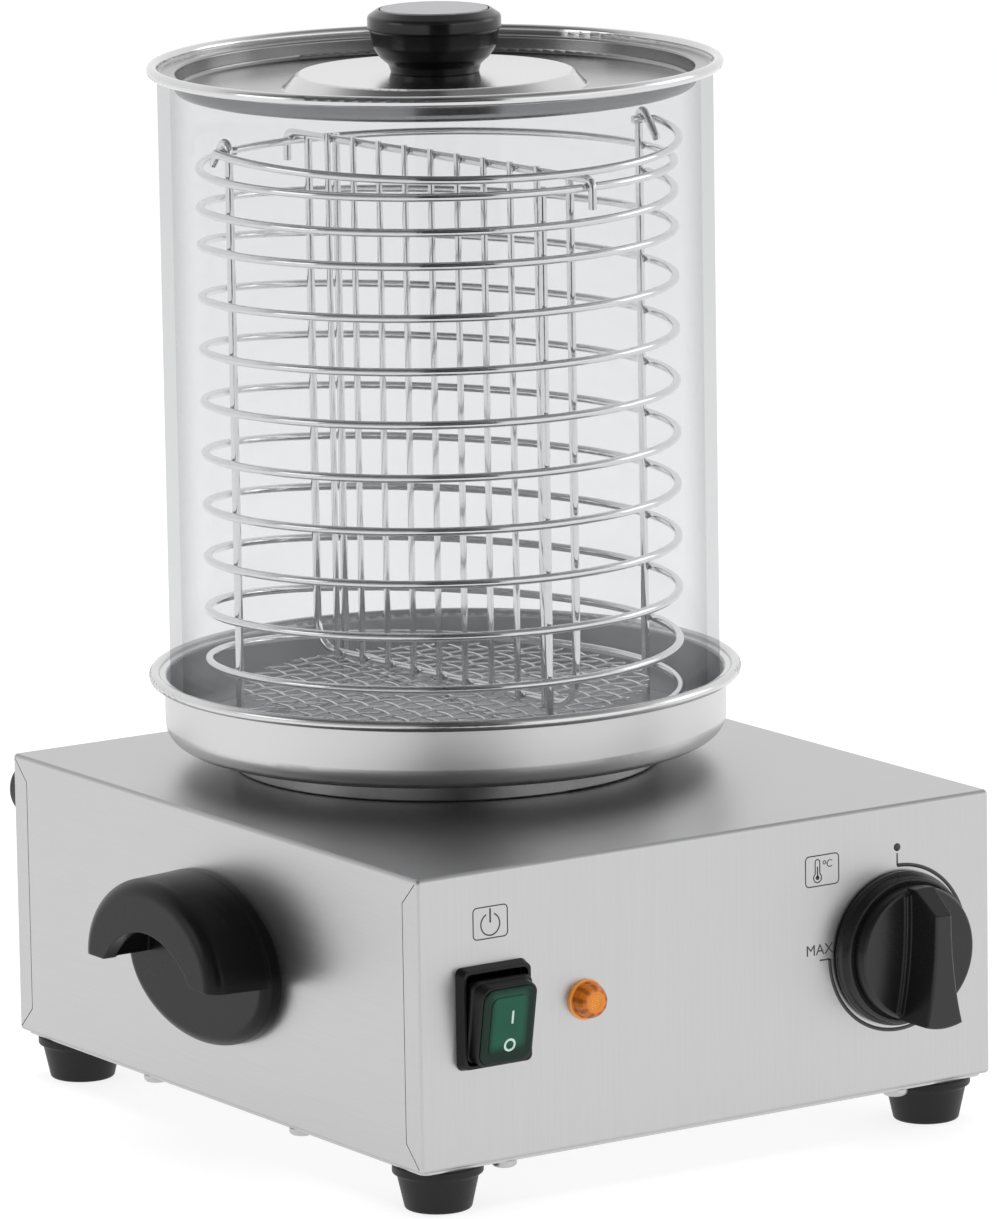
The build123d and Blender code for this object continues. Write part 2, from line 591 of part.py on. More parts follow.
def heat_shield():
    """Pressed dish under the housing top that carries the insulation."""
    t = 1.0
    profile = [(0, SHIELD_FLOOR), (83.0, SHIELD_FLOOR), (83.0, TOP_Z - SHEET - t), (92.0, TOP_Z - SHEET - t),
               (92.0, TOP_Z - SHEET), (82.0, TOP_Z - SHEET), (82.0, SHIELD_FLOOR + t), (0, SHIELD_FLOOR + t)]
    dish = turned(profile, [0, 2.5, 1.0, 0, 0, 1.5, 1.5, 0])
    holes = [Pos(x, y, SHIELD_FLOOR) * Cylinder(4.5, 6) for x, y in leg_points()]
    holes.append(Pos(0, 0, SHIELD_FLOOR) * Cylinder(STUD_R + 0.2, 6))
    holes.append(Pos(*CAPILLARY_AT, SHIELD_FLOOR) * Cylinder(2.5, 6))
    return AXIS * (dish - holes)


def insulation_pad():
    """Ceramic fibre disc lying in the shield."""
    low = SHIELD_FLOOR + 1.0
    pad = disc(79.0, low, low + 6.0)
    holes = [Pos(x, y, 0) * disc(5.0, low - 1, low + 8) for x, y in leg_points()]
    holes.append(disc(6.2, low - 1, low + 8))
    holes.append(Pos(*CAPILLARY_AT, 0) * disc(3.0, low - 1, low + 8))
    return AXIS * (pad - holes)


def plate_stud():
    """Centre stud of the heat plate with its spacer tube."""
    return AXIS * disc(STUD_R, SHIELD_FLOOR - 9.0, COLLAR_TOP)


def stud_spacer():
    """Tube that keeps the shield at its distance from the plate."""
    return AXIS * tube(6.0, STUD_R + 0.1, SHIELD_FLOOR + 1.0, COLLAR_TOP)


def stud_nut():
    """Nut and washer that clamp the heater together across the housing top."""
    washer = tube(9.0, STUD_R + 0.1, SHIELD_FLOOR - 1.5, SHIELD_FLOOR)
    nut = Pos(0, 0, SHIELD_FLOOR - 6.5) * hex_nut(10.0, STUD_R + 0.1, 5.0)
    return [AXIS * washer, AXIS * nut]


def sensor_bulb():
    """Thermostat bulb clipped under the heat plate, with its capillary to the thermostat."""
    height = COLLAR_TOP - 3.0
    bulb = rod((-34.0, -28.0, height), (26.0, -28.0, height), 3.0)
    dial_back = FRONT_Y + DIAL_DEPTH - AXIS_Y
    tail = FilletPolyline((26.0, -28.0, height), (*CAPILLARY_AT, height), (*CAPILLARY_AT, 95.0),
                          (60.0, -95.0, 95.0), (DIAL_X, dial_back + 18.0, 59.0), (DIAL_X, dial_back, 59.0),
                          radius=4.0)
    return AXIS * (bulb + bent_wire(tail, 1.0))


def overheat_cutout():
    """Disc thermostat under the heat plate with two tabs."""
    cup = disc(8.0, COLLAR_TOP - 4.0, COLLAR_TOP) + disc(7.2, COLLAR_TOP - 10.0, COLLAR_TOP - 4.0)
    tabs = [Pos(0, s * 4.5, COLLAR_TOP - 8.0) * Box(22.0, 4.0, 0.6) for s in (-1, 1)]
    return AXIS * Pos(0, 26.0, 0) * (cup + tabs)


def terminal_block():
    """Three-way terminal block on the base plate."""
    block = Pos(0, 0, BASE_Z) * Box(36.0, 18.0, 14.0, align=BOTTOM)
    block = fillet(block.edges().filter_by(Axis.Z), 1.5)
    for x in (-11.0, 0.0, 11.0):
        block = block - Pos(x, 0, BASE_Z + 7.0) * Rot(90, 0, 0) * Cylinder(2.6, 30)
        block = block - Pos(x, 0, BASE_Z + 7.0) * disc(2.0, 0, 10)
    return Pos(30.0, REAR_Y - 34, 0) * block


def earth_stud():
    """Earth stud with its nut on the base plate."""
    stud = disc(2.0, FOOT_H, BASE_Z + 14.0) + disc(4.0, BASE_Z, BASE_Z + 1.0)
    nut = Pos(0, 0, BASE_Z + 5.0) * hex_nut(7.0, 2.05, 3.2)
    return [Pos(-60, REAR_Y - 34, 0) * stud, Pos(-60, REAR_Y - 34, 0) * nut]


# ---- pan and glass ------------------------------------------------------------------------------

def water_pan():
    """Pressed water pan with a rolled rim."""
    t = PAN_SHEET
    lip = PAN_BEAD_Z + t / 2
    profile = [(0, PLATE_TOP), (PAN_R, PLATE_TOP), (PAN_R, lip - t), (PAN_BEAD_RING, lip - t),
               (PAN_BEAD_RING, lip), (PAN_R - t, lip), (PAN_R - t, PAN_FLOOR), (0, PAN_FLOOR)]
    sheet = turned(profile, [0, PAN_CORNER_R, 0.4, 0, 0, 1.4, PAN_CORNER_R - t, 0])
    bead = Pos(0, 0, PAN_BEAD_Z) * Torus(PAN_BEAD_RING, PAN_BEAD_R)
    return AXIS * (sheet + bead)


def glass_cylinder():
    """Heat-resistant glass tube with fire-rounded ends."""
    profile = [(GLASS_R - GLASS_WALL, GLASS_BOTTOM), (GLASS_R, GLASS_BOTTOM), (GLASS_R, GLASS_TOP),
               (GLASS_R - GLASS_WALL, GLASS_TOP)]
    return AXIS * turned(profile, [2.0, 2.0, 1.5, 1.5])


# ---- basket -------------------------------------------------------------------------------------

def coil_fall(share):
    """Share of a turn's drop that the wire has made, clockwise from the left upright."""
    fall = share
    for times, swing in enumerate(COIL_SWINGS, start=1):
        turn = 2 * pi * times
        fall += swing * (sin(turn * (share - COIL_STEEP_AT)) + sin(turn * COIL_STEEP_AT)) / turn
    return fall


def coil_wire(start, drop, sweep_angle):
    """Length of the coil, clockwise from a start angle, with close points at its ends to set their run."""
    near_end = 0.003
    inner = [step / COIL_STEPS for step in range(1, COIL_STEPS)]
    points = []
    for share in [0, near_end] + inner + [1 - near_end, 1]:
        angle = radians(start - share * sweep_angle)
        points.append((RING_R * cos(angle), RING_R * sin(angle), -drop * coil_fall(share)))
    return bent_wire(Spline(*points), WIRE_R)


def basket_rings():
    """Closed top hoop and, under it, one coiled wire in butted lengths of a turn each."""
    left = BASKET_TURN + 180
    wires = [Pos(0, 0, HOOP_Z) * Torus(RING_R, WIRE_R)]
    wires.append(Pos(0, 0, COIL_START_Z) * coil_wire(BASKET_TURN, COIL_START_Z - COIL_LEFT_Z, 180))
    wires.append(Pos(0, 0, COIL_LEFT_Z) * coil_wire(left, COIL_FIRST_DROP, 360))
    height = COIL_LEFT_Z - COIL_FIRST_DROP
    turn = coil_wire(left, RING_PITCH, 360)
    wires += [Pos(0, 0, height - step * RING_PITCH) * turn for step in range(COIL_TURNS)]
    height = height - COIL_TURNS * RING_PITCH
    wires.append(Pos(0, 0, height) * coil_wire(left, COIL_LAST_DROP, 360))
    return [AXIS * wire for wire in wires]


def side_upright():
    """Upright at the right-hand side whose top bends over as a hook for the bail's pin."""
    reach = 13.5
    path = FilletPolyline((0, PAN_FLOOR), (0, BAIL_Z + 7.726), (reach, BAIL_Z + 7.726 - reach),
                          radius=HOOK_BEND_R)
    side = Plane(origin=(UPRIGHT_R, 0, 0), x_dir=(0, -1, 0), z_dir=(-1, 0, 0))
    return bent_wire(side * path, WIRE_R)


def basket_uprights():
    """Four uprights inside the coil, the left and right ones with hooks."""
    hooked = [Rot(0, 0, BASKET_TURN + turn) * side_upright() for turn in (0, 180)]
    top = HOOP_Z + WIRE_R
    plain = [Rot(0, 0, BASKET_TURN + turn) * Pos(UPRIGHT_R, 0, 0) * disc(WIRE_R, PAN_FLOOR, top)
             for turn in (90, 270)]
    return [AXIS * wire for wire in hooked + plain]


def basket_cross_wires():
    """Two wires across the bottom between opposite uprights."""
    reach = UPRIGHT_R - WIRE_R
    wires = []
    for turn, height in ((0, CROSS_WIRE_Z), (90, CROSS_WIRE_Z - 2 * WIRE_R)):
        wires.append(AXIS * Rot(0, 0, BASKET_TURN + turn) * rod((-reach, 0, height), (reach, 0, height), WIRE_R))
    return wires


def basket_mesh():
    """Round floor of crossed fine wires lying on the cross wires."""
    low = CROSS_WIRE_Z + WIRE_R + MESH_WIRE_R
    count = int(MESH_R // MESH_PITCH)
    wires = []
    for step in range(-count, count + 1):
        offset = step * MESH_PITCH
        reach = sqrt(MESH_R ** 2 - offset ** 2)
        wires.append(rod((-reach, offset, low), (reach, offset, low), MESH_WIRE_R))
        high = low + 2 * MESH_WIRE_R
        wires.append(rod((offset, -reach, high), (offset, reach, high), MESH_WIRE_R))
    return [AXIS * Rot(0, 0, BASKET_TURN) * wire for wire in wires]


def divider_frame():
    """U-shaped divider frame with a top rail whose ends hook over the top hoop."""
    hook_drop = 10.5
    outline = FilletPolyline((-DIVIDER_SIDE, DIVIDER_TOP_Z), (-DIVIDER_SIDE, DIVIDER_BOTTOM_Z),
                             (DIVIDER_SIDE, DIVIDER_BOTTOM_Z), (DIVIDER_SIDE, DIVIDER_TOP_Z), radius=11.0)
    rail = FilletPolyline((-DIVIDER_HOOK_T, DIVIDER_TOP_Z - hook_drop), (-DIVIDER_HOOK_T, DIVIDER_TOP_Z),
                          (DIVIDER_HOOK_T, DIVIDER_TOP_Z), (DIVIDER_HOOK_T, DIVIDER_TOP_Z - hook_drop),
                          radius=3.1)
    wires = bent_wire(Plane.XZ * outline, WIRE_R) + bent_wire(Plane.XZ * rail, WIRE_R)
    return AXIS * Rot(0, 0, 90 + DIVIDER_TURN) * wires


def divider_wires():
    """Nine upright wires welded to one face of the divider frame."""
    side = WIRE_R + DIVIDER_WIRE_R
    low = DIVIDER_BOTTOM_Z - WIRE_R
    high = DIVIDER_TOP_Z + WIRE_R + 1.0
    wires = []
    for step in range(DIVIDER_WIRES):
        along = (step - (DIVIDER_WIRES - 1) / 2) * DIVIDER_PITCH
        wires.append(rod((along, side, low), (along, side, high), DIVIDER_WIRE_R))
    return [AXIS * Rot(0, 0, 90 + DIVIDER_TURN) * wire for wire in wires]


def basket_bail():
    """Half-ring carrying handle whose ends turn in as pins through the two hooks."""
    centre_x = sqrt((BAIL_R - BAIL_CORNER_R) ** 2 - BAIL_CORNER_R ** 2)
    scale = BAIL_R / (BAIL_R - BAIL_CORNER_R)
    join = (centre_x * scale, -BAIL_CORNER_R * scale)
    pin_in = Line((-BAIL_PIN_END, 0), (-centre_x, 0))
    turn_in = TangentArc((-centre_x, 0), (-join[0], join[1]), tangent=(-1, 0))
    half = ThreePointArc((-join[0], join[1]), (0, -BAIL_R), join)
    turn_out = TangentArc((centre_x, 0), join, tangent=(1, 0))
    pin_out = Line((centre_x, 0), (BAIL_PIN_END, 0))
    wire = bent_wire(Wire([pin_in, turn_in, half, turn_out, pin_out]), WIRE_R)
    return AXIS * Pos(0, 0, BAIL_Z) * Rot(0, 0, BAIL_TURN) * Rot(BAIL_DROOP, 0, 0) * wire


# ---- lid ----------------------------------------------------------------------------------------

LID_HOLE_R = 3.0


def lid_plate():
    """Pressed lid: rolled rim, dropped ring that centres it in the glass, raised plateau."""
    t = LID_SHEET
    edge = LID_BEAD_RING - 1.0
    slope = (LID_PLATEAU_Z - LID_FLOOR_Z) / (LID_DISH_R - LID_PLATEAU_R)
    skew = t * (sqrt(1 + slope ** 2) - 1) / slope
    profile = [(LID_HOLE_R, LID_PLATEAU_Z), (LID_PLATEAU_R, LID_PLATEAU_Z), (LID_DISH_R, LID_FLOOR_Z),
               (LID_RIM_R - t, LID_FLOOR_Z), (LID_RIM_R - t, GLASS_TOP + t), (edge, GLASS_TOP + t),
               (edge, GLASS_TOP), (LID_RIM_R, GLASS_TOP), (LID_RIM_R, LID_FLOOR_Z - t),
               (LID_DISH_R - skew, LID_FLOOR_Z - t), (LID_PLATEAU_R - skew, LID_PLATEAU_Z - t),
               (LID_HOLE_R, LID_PLATEAU_Z - t)]
    radii = [0, 2.0, 1.2, 1.8, 1.0, 0, 0, 0.2, 2.6, 2.0, 1.2, 0]
    bead = Pos(0, 0, GLASS_TOP + LID_BEAD_R) * Torus(LID_BEAD_RING, LID_BEAD_R)
    return AXIS * (turned(profile, radii) + bead)


def lid_knob():
    """Black moulded knob: a bowl that flares from a narrow foot to a rounded lip round the inlay."""
    z = LID_PLATEAU_Z
    recess = TOTAL_H - 1.6
    profile = [(M4_R + SCREW_FIT, z), (15.9, z), (16.7, z + 2.8), (19.9, z + 5.6), (22.4, z + 9.5),
               (23.2, z + 15.2), (24.15, z + 15.8), (24.15, z + 20.4), (20.6, TOTAL_H - 0.3),
               (19.9, TOTAL_H - 0.3), (19.9, recess), (M4_R + SCREW_FIT, recess)]
    radii = [0, 0.3, 2.0, 5.0, 4.0, 0.3, 0.6, 2.0, 0.2, 0.2, 0, 0]
    blind = disc(M4_R + SCREW_FIT + 0.5, TOTAL_H - 5.0, recess)
    return AXIS * (turned(profile, radii) + blind)


def lid_knob_cap():
    """Flat inlay disc in the top of the knob."""
    profile = [(0, TOTAL_H - 1.6), (19.4, TOTAL_H - 1.6), (19.4, TOTAL_H), (0, TOTAL_H)]
    return AXIS * turned(profile, [0, 0, 0.4, 0])


def lid_knob_washer():
    """Washer under the lid plate."""
    low = LID_PLATEAU_Z - LID_SHEET - 1.0
    return AXIS * tube(7.0, M4_R + 0.1, low, low + 1.0)


def lid_knob_screw():
    """Screw up through the lid into the knob."""
    low = LID_PLATEAU_Z - LID_SHEET - 1.0
    return AXIS * Pos(0, 0, low) * Rot(180, 0, 0) * panhead(M4_R, 17.0, M4_HEAD_R, M4_HEAD_H)


# ---- writing the parts --------------------------------------------------------------------------

def feet():
    """The four feet by name."""
    names = ("foot_front_left", "foot_front_right", "foot_rear_left", "foot_rear_right")
    return {name: foot(place) for name, place in zip(names, foot_places())}


def all_parts():
    """Every named sub-part of the steamer."""
    parts = {
        "housing_shell": housing_shell(),
        "base_plate": base_plate(),
        "base_screws": base_screws(),
        "foot_screws": foot_screws(),
        "foot_nuts": foot_nuts(),
        "handle_left": handle_left(),
        "handle_right": handle_right(),
        "handle_screws": handle_screws(),
        "switch_housing": switch_housing(),
        "switch_terminals": switch_terminals(),
        "power_rocker": power_rocker(),
        "power_button": power_button(),
        "lamp_lens": lamp_lens(),
        "lamp_body": lamp_body(),
        "lamp_nut": lamp_nut(),
        "thermostat_knob": thermostat_knob(),
        "thermostat_shaft": thermostat_shaft(),
        "thermostat_body": thermostat_body(),
        "thermostat_screws": thermostat_screws(),
        "sensor_bulb": sensor_bulb(),
        "rear_bumper_left": rear_bumper(1),
        "rear_bumper_right": rear_bumper(-1),
        "bumper_screws": bumper_screws(),
        "cord_gland": cord_gland(),
        "gland_nut": gland_nut(),
        "support_collar": support_collar(),
        "heat_plate": heat_plate(),
        "heating_element": heating_element(),
        "element_terminals": element_terminals(),
        "heat_shield": heat_shield(),
        "insulation_pad": insulation_pad(),
        "plate_stud": plate_stud(),
        "stud_spacer": stud_spacer(),
        "stud_nut": stud_nut(),
        "overheat_cutout": overheat_cutout(),
        "terminal_block": terminal_block(),
        "earth_stud": earth_stud(),
        "water_pan": water_pan(),
        "glass_cylinder": glass_cylinder(),
        "basket_rings": basket_rings(),
        "basket_uprights": basket_uprights(),
        "basket_cross_wires": basket_cross_wires(),
        "basket_mesh": basket_mesh(),
        "divider_frame": divider_frame(),
        "divider_wires": divider_wires(),
        "basket_bail": basket_bail(),
        "lid_plate": lid_plate(),
        "lid_knob": lid_knob(),
        "lid_knob_cap": lid_knob_cap(),
        "lid_knob_washer": lid_knob_washer(),
        "lid_knob_screw": lid_knob_screw(),
    }
    parts.update(feet())
    return parts


def main():
    """Write one STEP file per sub-part."""
    os.makedirs("parts", exist_ok=True)
    for name, shape in all_parts().items():
        whole = Compound(children=shape) if isinstance(shape, list) else shape
        export_step(whole, f"parts/{name}.step")


main()
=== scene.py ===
import json
import math

import bpy
import numpy as np
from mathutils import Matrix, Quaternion, Vector


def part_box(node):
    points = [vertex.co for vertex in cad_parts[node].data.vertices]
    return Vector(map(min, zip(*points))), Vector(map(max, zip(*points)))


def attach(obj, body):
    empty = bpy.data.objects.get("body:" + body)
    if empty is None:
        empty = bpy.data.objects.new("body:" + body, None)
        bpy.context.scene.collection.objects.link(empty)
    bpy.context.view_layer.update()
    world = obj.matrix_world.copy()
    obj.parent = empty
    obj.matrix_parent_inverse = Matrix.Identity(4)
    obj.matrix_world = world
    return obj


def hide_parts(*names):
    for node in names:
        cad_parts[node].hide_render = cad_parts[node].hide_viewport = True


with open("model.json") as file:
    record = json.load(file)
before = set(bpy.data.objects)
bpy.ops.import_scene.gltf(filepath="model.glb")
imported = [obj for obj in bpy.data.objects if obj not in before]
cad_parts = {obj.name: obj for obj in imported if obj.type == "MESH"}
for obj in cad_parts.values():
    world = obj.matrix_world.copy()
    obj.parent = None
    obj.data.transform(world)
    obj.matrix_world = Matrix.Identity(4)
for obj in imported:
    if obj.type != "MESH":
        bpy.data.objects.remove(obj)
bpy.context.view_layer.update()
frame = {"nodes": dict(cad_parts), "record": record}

# The looks of a counter-top hot dog steamer, laid out as an add-on: the settings below can be
# changed, each operator dresses one group of pieces, and main() runs them in order.

bl_info = {
    "name": "Hot dog steamer looks",
    "version": (1, 0, 0),
    "blender": (4, 5, 0),
    "location": "3D View > Sidebar > Steamer",
    "description": "Finishes, printed marks, woven floor, weld beads and studio of a steamer",
    "category": "Object",
}

MM = 0.001


# ---- places read from the frame -----------------------------------------------------------------

def span(node):
    """Lowest and highest corner of a node, as numpy arrays."""
    low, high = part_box(node)
    return np.array(low), np.array(high)


def middle(node):
    """Centre of a node's box."""
    low, high = span(node)
    return (low + high) / 2


GLASS_LOW, GLASS_HIGH = span("glass_cylinder")
AXIS_X, AXIS_Y = middle("glass_cylinder")[:2]
PANEL_Y = span("housing_shell")[0][1]
DIAL_X, _, DIAL_Z = middle("thermostat_knob")
SWITCH_X, _, SWITCH_Z = middle("switch_housing")
JOINTS = {joint["name"]: joint for joint in frame["record"]["behaviour"]["joints"]}
BASKET_TURN = math.radians(-6.6)

# Radii about the upright axis that pan, glass and lid share, in metres.
PAN_WALL_R = 0.1017
LID_MIDDLE_R = 0.0550
LID_GROOVE_R = 0.0925
LID_RIM_R = 0.0990


# ---- settings -----------------------------------------------------------------------------------

def colour(name, description, value):
    """A linear RGB colour setting."""
    return bpy.props.FloatVectorProperty(name=name, description=description, default=value, size=3,
                                         min=0, max=1, subtype="COLOR")


def length(name, description, value_mm):
    """A length setting, given in millimetres and held in metres."""
    return bpy.props.FloatProperty(name=name, description=description, default=value_mm * MM,
                                   min=0, precision=5, unit="LENGTH")


def factor(name, description, value):
    """A setting from 0 to 1."""
    return bpy.props.FloatProperty(name=name, description=description, default=value, min=0, max=1,
                                   subtype="FACTOR")


class SteamerFinishes(bpy.types.PropertyGroup):
    """Colours and gloss of the steamer's materials."""

    steel: colour("Steel", "Stainless steel of the housing", (0.53, 0.53, 0.535))
    bright: colour("Bright steel", "Lid and pan", (0.64, 0.64, 0.645))
    wire: colour("Wire", "Polished basket wire", (0.82, 0.82, 0.825))
    black: colour("Black plastic", "Handles, knobs and switch", (0.007, 0.007, 0.008))
    rubber: colour("Rubber", "Feet and bumpers", (0.010, 0.010, 0.011))
    green: colour("Green", "Rocker button", (0.008, 0.088, 0.052))
    amber: colour("Amber", "Pilot lamp lens", (0.72, 0.20, 0.008))
    ink: colour("Ink", "Printed marks", (0.055, 0.050, 0.052))
    white_ink: colour("White ink", "Marks on the rocker", (0.62, 0.80, 0.74))
    glass: colour("Glass tint", "Light left after one face of the glass", (0.922, 0.925, 0.929))
    satin: factor("Satin", "Roughness of the brushed housing", 0.33)


class SteamerSizes(bpy.types.PropertyGroup):
    """Sizes of the pieces that are added to the solids."""

    mesh_pitch: length("Mesh pitch", "Spacing of the woven floor's wires", 8.5)
    mesh_wire: length("Mesh wire", "Diameter of the woven floor's wires", 0.9)
    weld: length("Weld", "Radius of a spot weld", 1.15)
    stroke: length("Stroke", "Width of the printed lines", 0.42)
    arc_stroke: length("Arc stroke", "Width of the printed dial arc", 1.35)
    ink_height: length("Ink height", "Thickness of printed marks", 0.05)


class SteamerStage(bpy.types.PropertyGroup):
    """Camera and studio."""

    azimuth: bpy.props.FloatProperty(name="Azimuth", description="Camera turn about the upright axis",
                                     default=math.radians(-33.52), subtype="ANGLE")
    elevation: bpy.props.FloatProperty(name="Elevation", description="Camera height angle",
                                       default=math.radians(10.875), subtype="ANGLE")
    roll: bpy.props.FloatProperty(name="Roll", description="Camera turn about its own line of sight",
                                  default=math.radians(-0.92), subtype="ANGLE")
    lens: bpy.props.FloatProperty(name="Lens", description="Focal length on a 36 mm long side, in mm",
                                  default=8937 / 1219 * 36, min=10)
    place: bpy.props.FloatVectorProperty(name="Camera", description="Camera position",
                                         default=(-1.7463, -2.6326, 0.7888), subtype="TRANSLATION",
                                         unit="LENGTH")
    floor: factor("Floor", "Reflectance of the floor", 0.30)
    glow: bpy.props.FloatProperty(name="Glow", description="Light that the floor gives from below",
                                  default=0.82, min=0)
    sky: bpy.props.FloatProperty(name="Sky", description="Strength of the surrounding light",
                                 default=1.0, min=0)


# ---- shader helpers -----------------------------------------------------------------------------

class Value:
    """A shader socket that can stand in sums and products."""

    def __init__(self, maker, socket):
        self.maker = maker
        self.socket = socket

    def math(self, operation, *others):
        """One Math node on this value and others."""
        return self.maker.node("ShaderNodeMath", {"operation": operation}, *((self,) + others))

    def flipped(self, operation, other):
        """The same with this value second."""
        return self.maker.node("ShaderNodeMath", {"operation": operation}, other, self)

    def __add__(self, other):
        return self.math("ADD", other)

    def __radd__(self, other):
        return self.flipped("ADD", other)

    def __sub__(self, other):
        return self.math("SUBTRACT", other)

    def __rsub__(self, other):
        return self.flipped("SUBTRACT", other)

    def __mul__(self, other):
        return self.math("MULTIPLY", other)

    def __truediv__(self, other):
        return self.math("DIVIDE", other)

    def smooth(self, low, high):
        """0 below low, 1 above high, eased between."""
        return self.maker.node("ShaderNodeMapRange", {"interpolation_type": "SMOOTHSTEP"},
                               self, low, high, 0.0, 1.0)

    def past(self, edge, soft):
        """0 before an edge and 1 past it, eased over soft on each side of it."""
        return self.smooth(edge - soft, edge + soft)


class Maker:
    """Builds one node tree."""

    def __init__(self, tree):
        self.tree = tree
        tree.nodes.clear()

    def node(self, kind, settings=None, *values, out=0, **named):
        """Adds a node: its settings first, then its sockets in order or by name; gives one output."""
        made = self.tree.nodes.new(kind)
        for key, value in (settings or {}).items():
            setattr(made, key, value)
        sockets = list(zip(made.inputs, values))
        sockets += [(made.inputs[key.replace("_", " ")], value) for key, value in named.items()]
        for socket, value in sockets:
            self.feed(socket, value)
        return Value(self, made.outputs[out]) if made.outputs else None

    def feed(self, socket, value):
        """Links a Value or sets a constant."""
        if isinstance(value, Value):
            self.tree.links.new(value.socket, socket)
        elif value is not None:
            if hasattr(value, "__len__") and len(value) == 3 and len(socket.default_value) == 4:
                value = (*value, 1.0)
            socket.default_value = value

    def mix(self, mask, first, second):
        """Colour mix: first where the mask is 0, second where it is 1."""
        made = self.tree.nodes.new("ShaderNodeMix")
        made.data_type = "RGBA"
        self.feed(made.inputs[0], mask)
        self.feed(made.inputs[6], first)
        self.feed(made.inputs[7], second)
        return Value(self, made.outputs[2])

    def position(self):
        """Object coordinates, in metres."""
        return self.node("ShaderNodeTexCoord", out=3)

    def split(self, vector):
        """The three parts of a vector."""
        made = self.tree.nodes.new("ShaderNodeSeparateXYZ")
        self.feed(made.inputs[0], vector)
        return [Value(self, socket) for socket in made.outputs]

    def join(self, x, y, z):
        """A vector from three values."""
        return self.node("ShaderNodeCombineXYZ", None, x, y, z)

    def noise(self, vector, scale, detail=2.0, rough=0.5):
        """Fractal noise from 0 to 1."""
        return self.node("ShaderNodeTexNoise", None, Vector=vector, Scale=scale, Detail=detail,
                         Roughness=rough)

    def stretched(self, vector, scales):
        """The vector with each part scaled."""
        return self.node("ShaderNodeVectorMath", {"operation": "MULTIPLY"}, vector, scales)

    def bump(self, height, strength, distance, normal=None):
        """Normal from a height field, on top of another normal where one is given."""
        return self.node("ShaderNodeBump", None, Height=height, Strength=strength, Distance=distance,
                         Normal=normal)


def material(name):
    """A new node material and its maker."""
    made = bpy.data.materials.new(name)
    made.use_nodes = True
    return made, Maker(made.node_tree)


def surface(maker, **sockets):
    """Principled shader straight into the output."""
    shader = maker.node("ShaderNodeBsdfPrincipled", None, **sockets)
    maker.node("ShaderNodeOutputMaterial", None, Surface=shader)


def toned(tone, factor):
    """A colour made darker or lighter, at most white."""
    return tuple(min(1.0, part * factor) for part in tone)


def from_axis(x, y):
    """Distance from the upright axis, which stands at x = 0 and y = AXIS_Y."""
    return (x * x + (y - AXIS_Y) * (y - AXIS_Y)).math("SQRT")


# ---- finishes -----------------------------------------------------------------------------------

def streaks(maker, position, fine, across, along):
    """Brush lines: noise drawn out across one axis. fine and along are its changes per metre."""
    scales = [along] * 3
    scales[across] = fine
    return maker.noise(maker.stretched(position, scales), 1.0, 4.0, 0.65)


def brushed_steel(finish):
    """Satin sheet brushed front to rear on top and sides and up and down on the front."""
    made, maker = material("brushed_housing_steel")
    position = maker.position()
    normal_x, _, normal_z = maker.split(maker.node("ShaderNodeNewGeometry", out=1))
    side = normal_x.math("ABSOLUTE").smooth(0.6, 0.8)
    level = normal_z.math("ABSOLUTE")
    bend = level.smooth(0.05, 0.35) * (1 - level.smooth(0.90, 0.99))
    fine, along = 5200.0, 26.0
    flat = streaks(maker, position, fine, 0, along)
    wall = streaks(maker, position, fine, 2, along)
    grain = side * wall + (1 - side) * flat
    cloud = maker.noise(position, 9.0, 3.0)
    tone = maker.mix(grain.smooth(0.25, 0.75), toned(finish.steel, 0.955), toned(finish.steel, 1.03))
    rough = grain * 0.10 + cloud * 0.05 + bend * 0.22 + (finish.satin - 0.075)
    surface(maker, Base_Color=tone, Metallic=1.0, Roughness=rough,
            Normal=maker.bump(grain, 0.10, 0.00012))
    return made


def spun_steel(finish):
    """Pan: satin wall with faint turning lines, duller inside and painted lighter and less metallic
    there as painted light, polished rolled rim.
    """
    made, maker = material("spun_pan_steel")
    position = maker.position()
    x, y, z = maker.split(position)
    radius = from_axis(x, y)
    top = span("water_pan")[1][2]
    normal_x, normal_y, _ = maker.split(maker.node("ShaderNodeNewGeometry", out=1))
    outward = (normal_x * x + normal_y * (y - AXIS_Y)) / radius
    lit_inside = (1 - outward.smooth(0.05, 0.35)) * (1 - radius.past(PAN_WALL_R, 0.0005))
    rim = z.past(top - 0.0041, 0.0005) * (1 - lit_inside)
    lines = maker.noise(maker.join(radius * 2600.0, z * 2600.0, 0.0), 1.0, 3.0)
    cloud = maker.noise(position, 22.0, 3.0)
    outer = maker.mix(lines, toned(finish.bright, 0.95), finish.bright)
    # Painted light: inside the pan the steel is given a lighter colour and made less metallic.
    tone = maker.mix(lit_inside, outer, (0.80, 0.80, 0.805))
    satin = 0.27 + lines * 0.08 + cloud * 0.05 + lit_inside * 0.14
    surface(maker, Base_Color=tone, Metallic=1.0 - lit_inside * 0.55,
            Roughness=rim * 0.20 + (1 - rim) * satin, Normal=maker.bump(lines, 0.05, 0.0001))
    return made


def bright_wire(finish):
    """Drawn and electro-polished wire with faint length-wise waviness."""
    made, maker = material("bright_basket_wire")
    position = maker.position()
    cloud = maker.noise(position, 260.0, 2.0)
    tone = maker.mix(cloud, toned(finish.wire, 0.93), finish.wire)
    surface(maker, Base_Color=tone, Metallic=1.0, Roughness=0.07 + cloud * 0.07,
            Normal=maker.bump(cloud, 0.05, 0.0003))
    return made


def weld_metal():
    """Spot welds: dull, mottled steel."""
    made, maker = material("weld_steel")
    cloud = maker.noise(maker.position(), 700.0, 3.0)
    surface(maker, Base_Color=maker.mix(cloud, (0.30, 0.30, 0.31), (0.50, 0.50, 0.50)), Metallic=1.0,
            Roughness=0.34 + cloud * 0.12, Normal=maker.bump(cloud, 0.3, 0.0003))
    return made


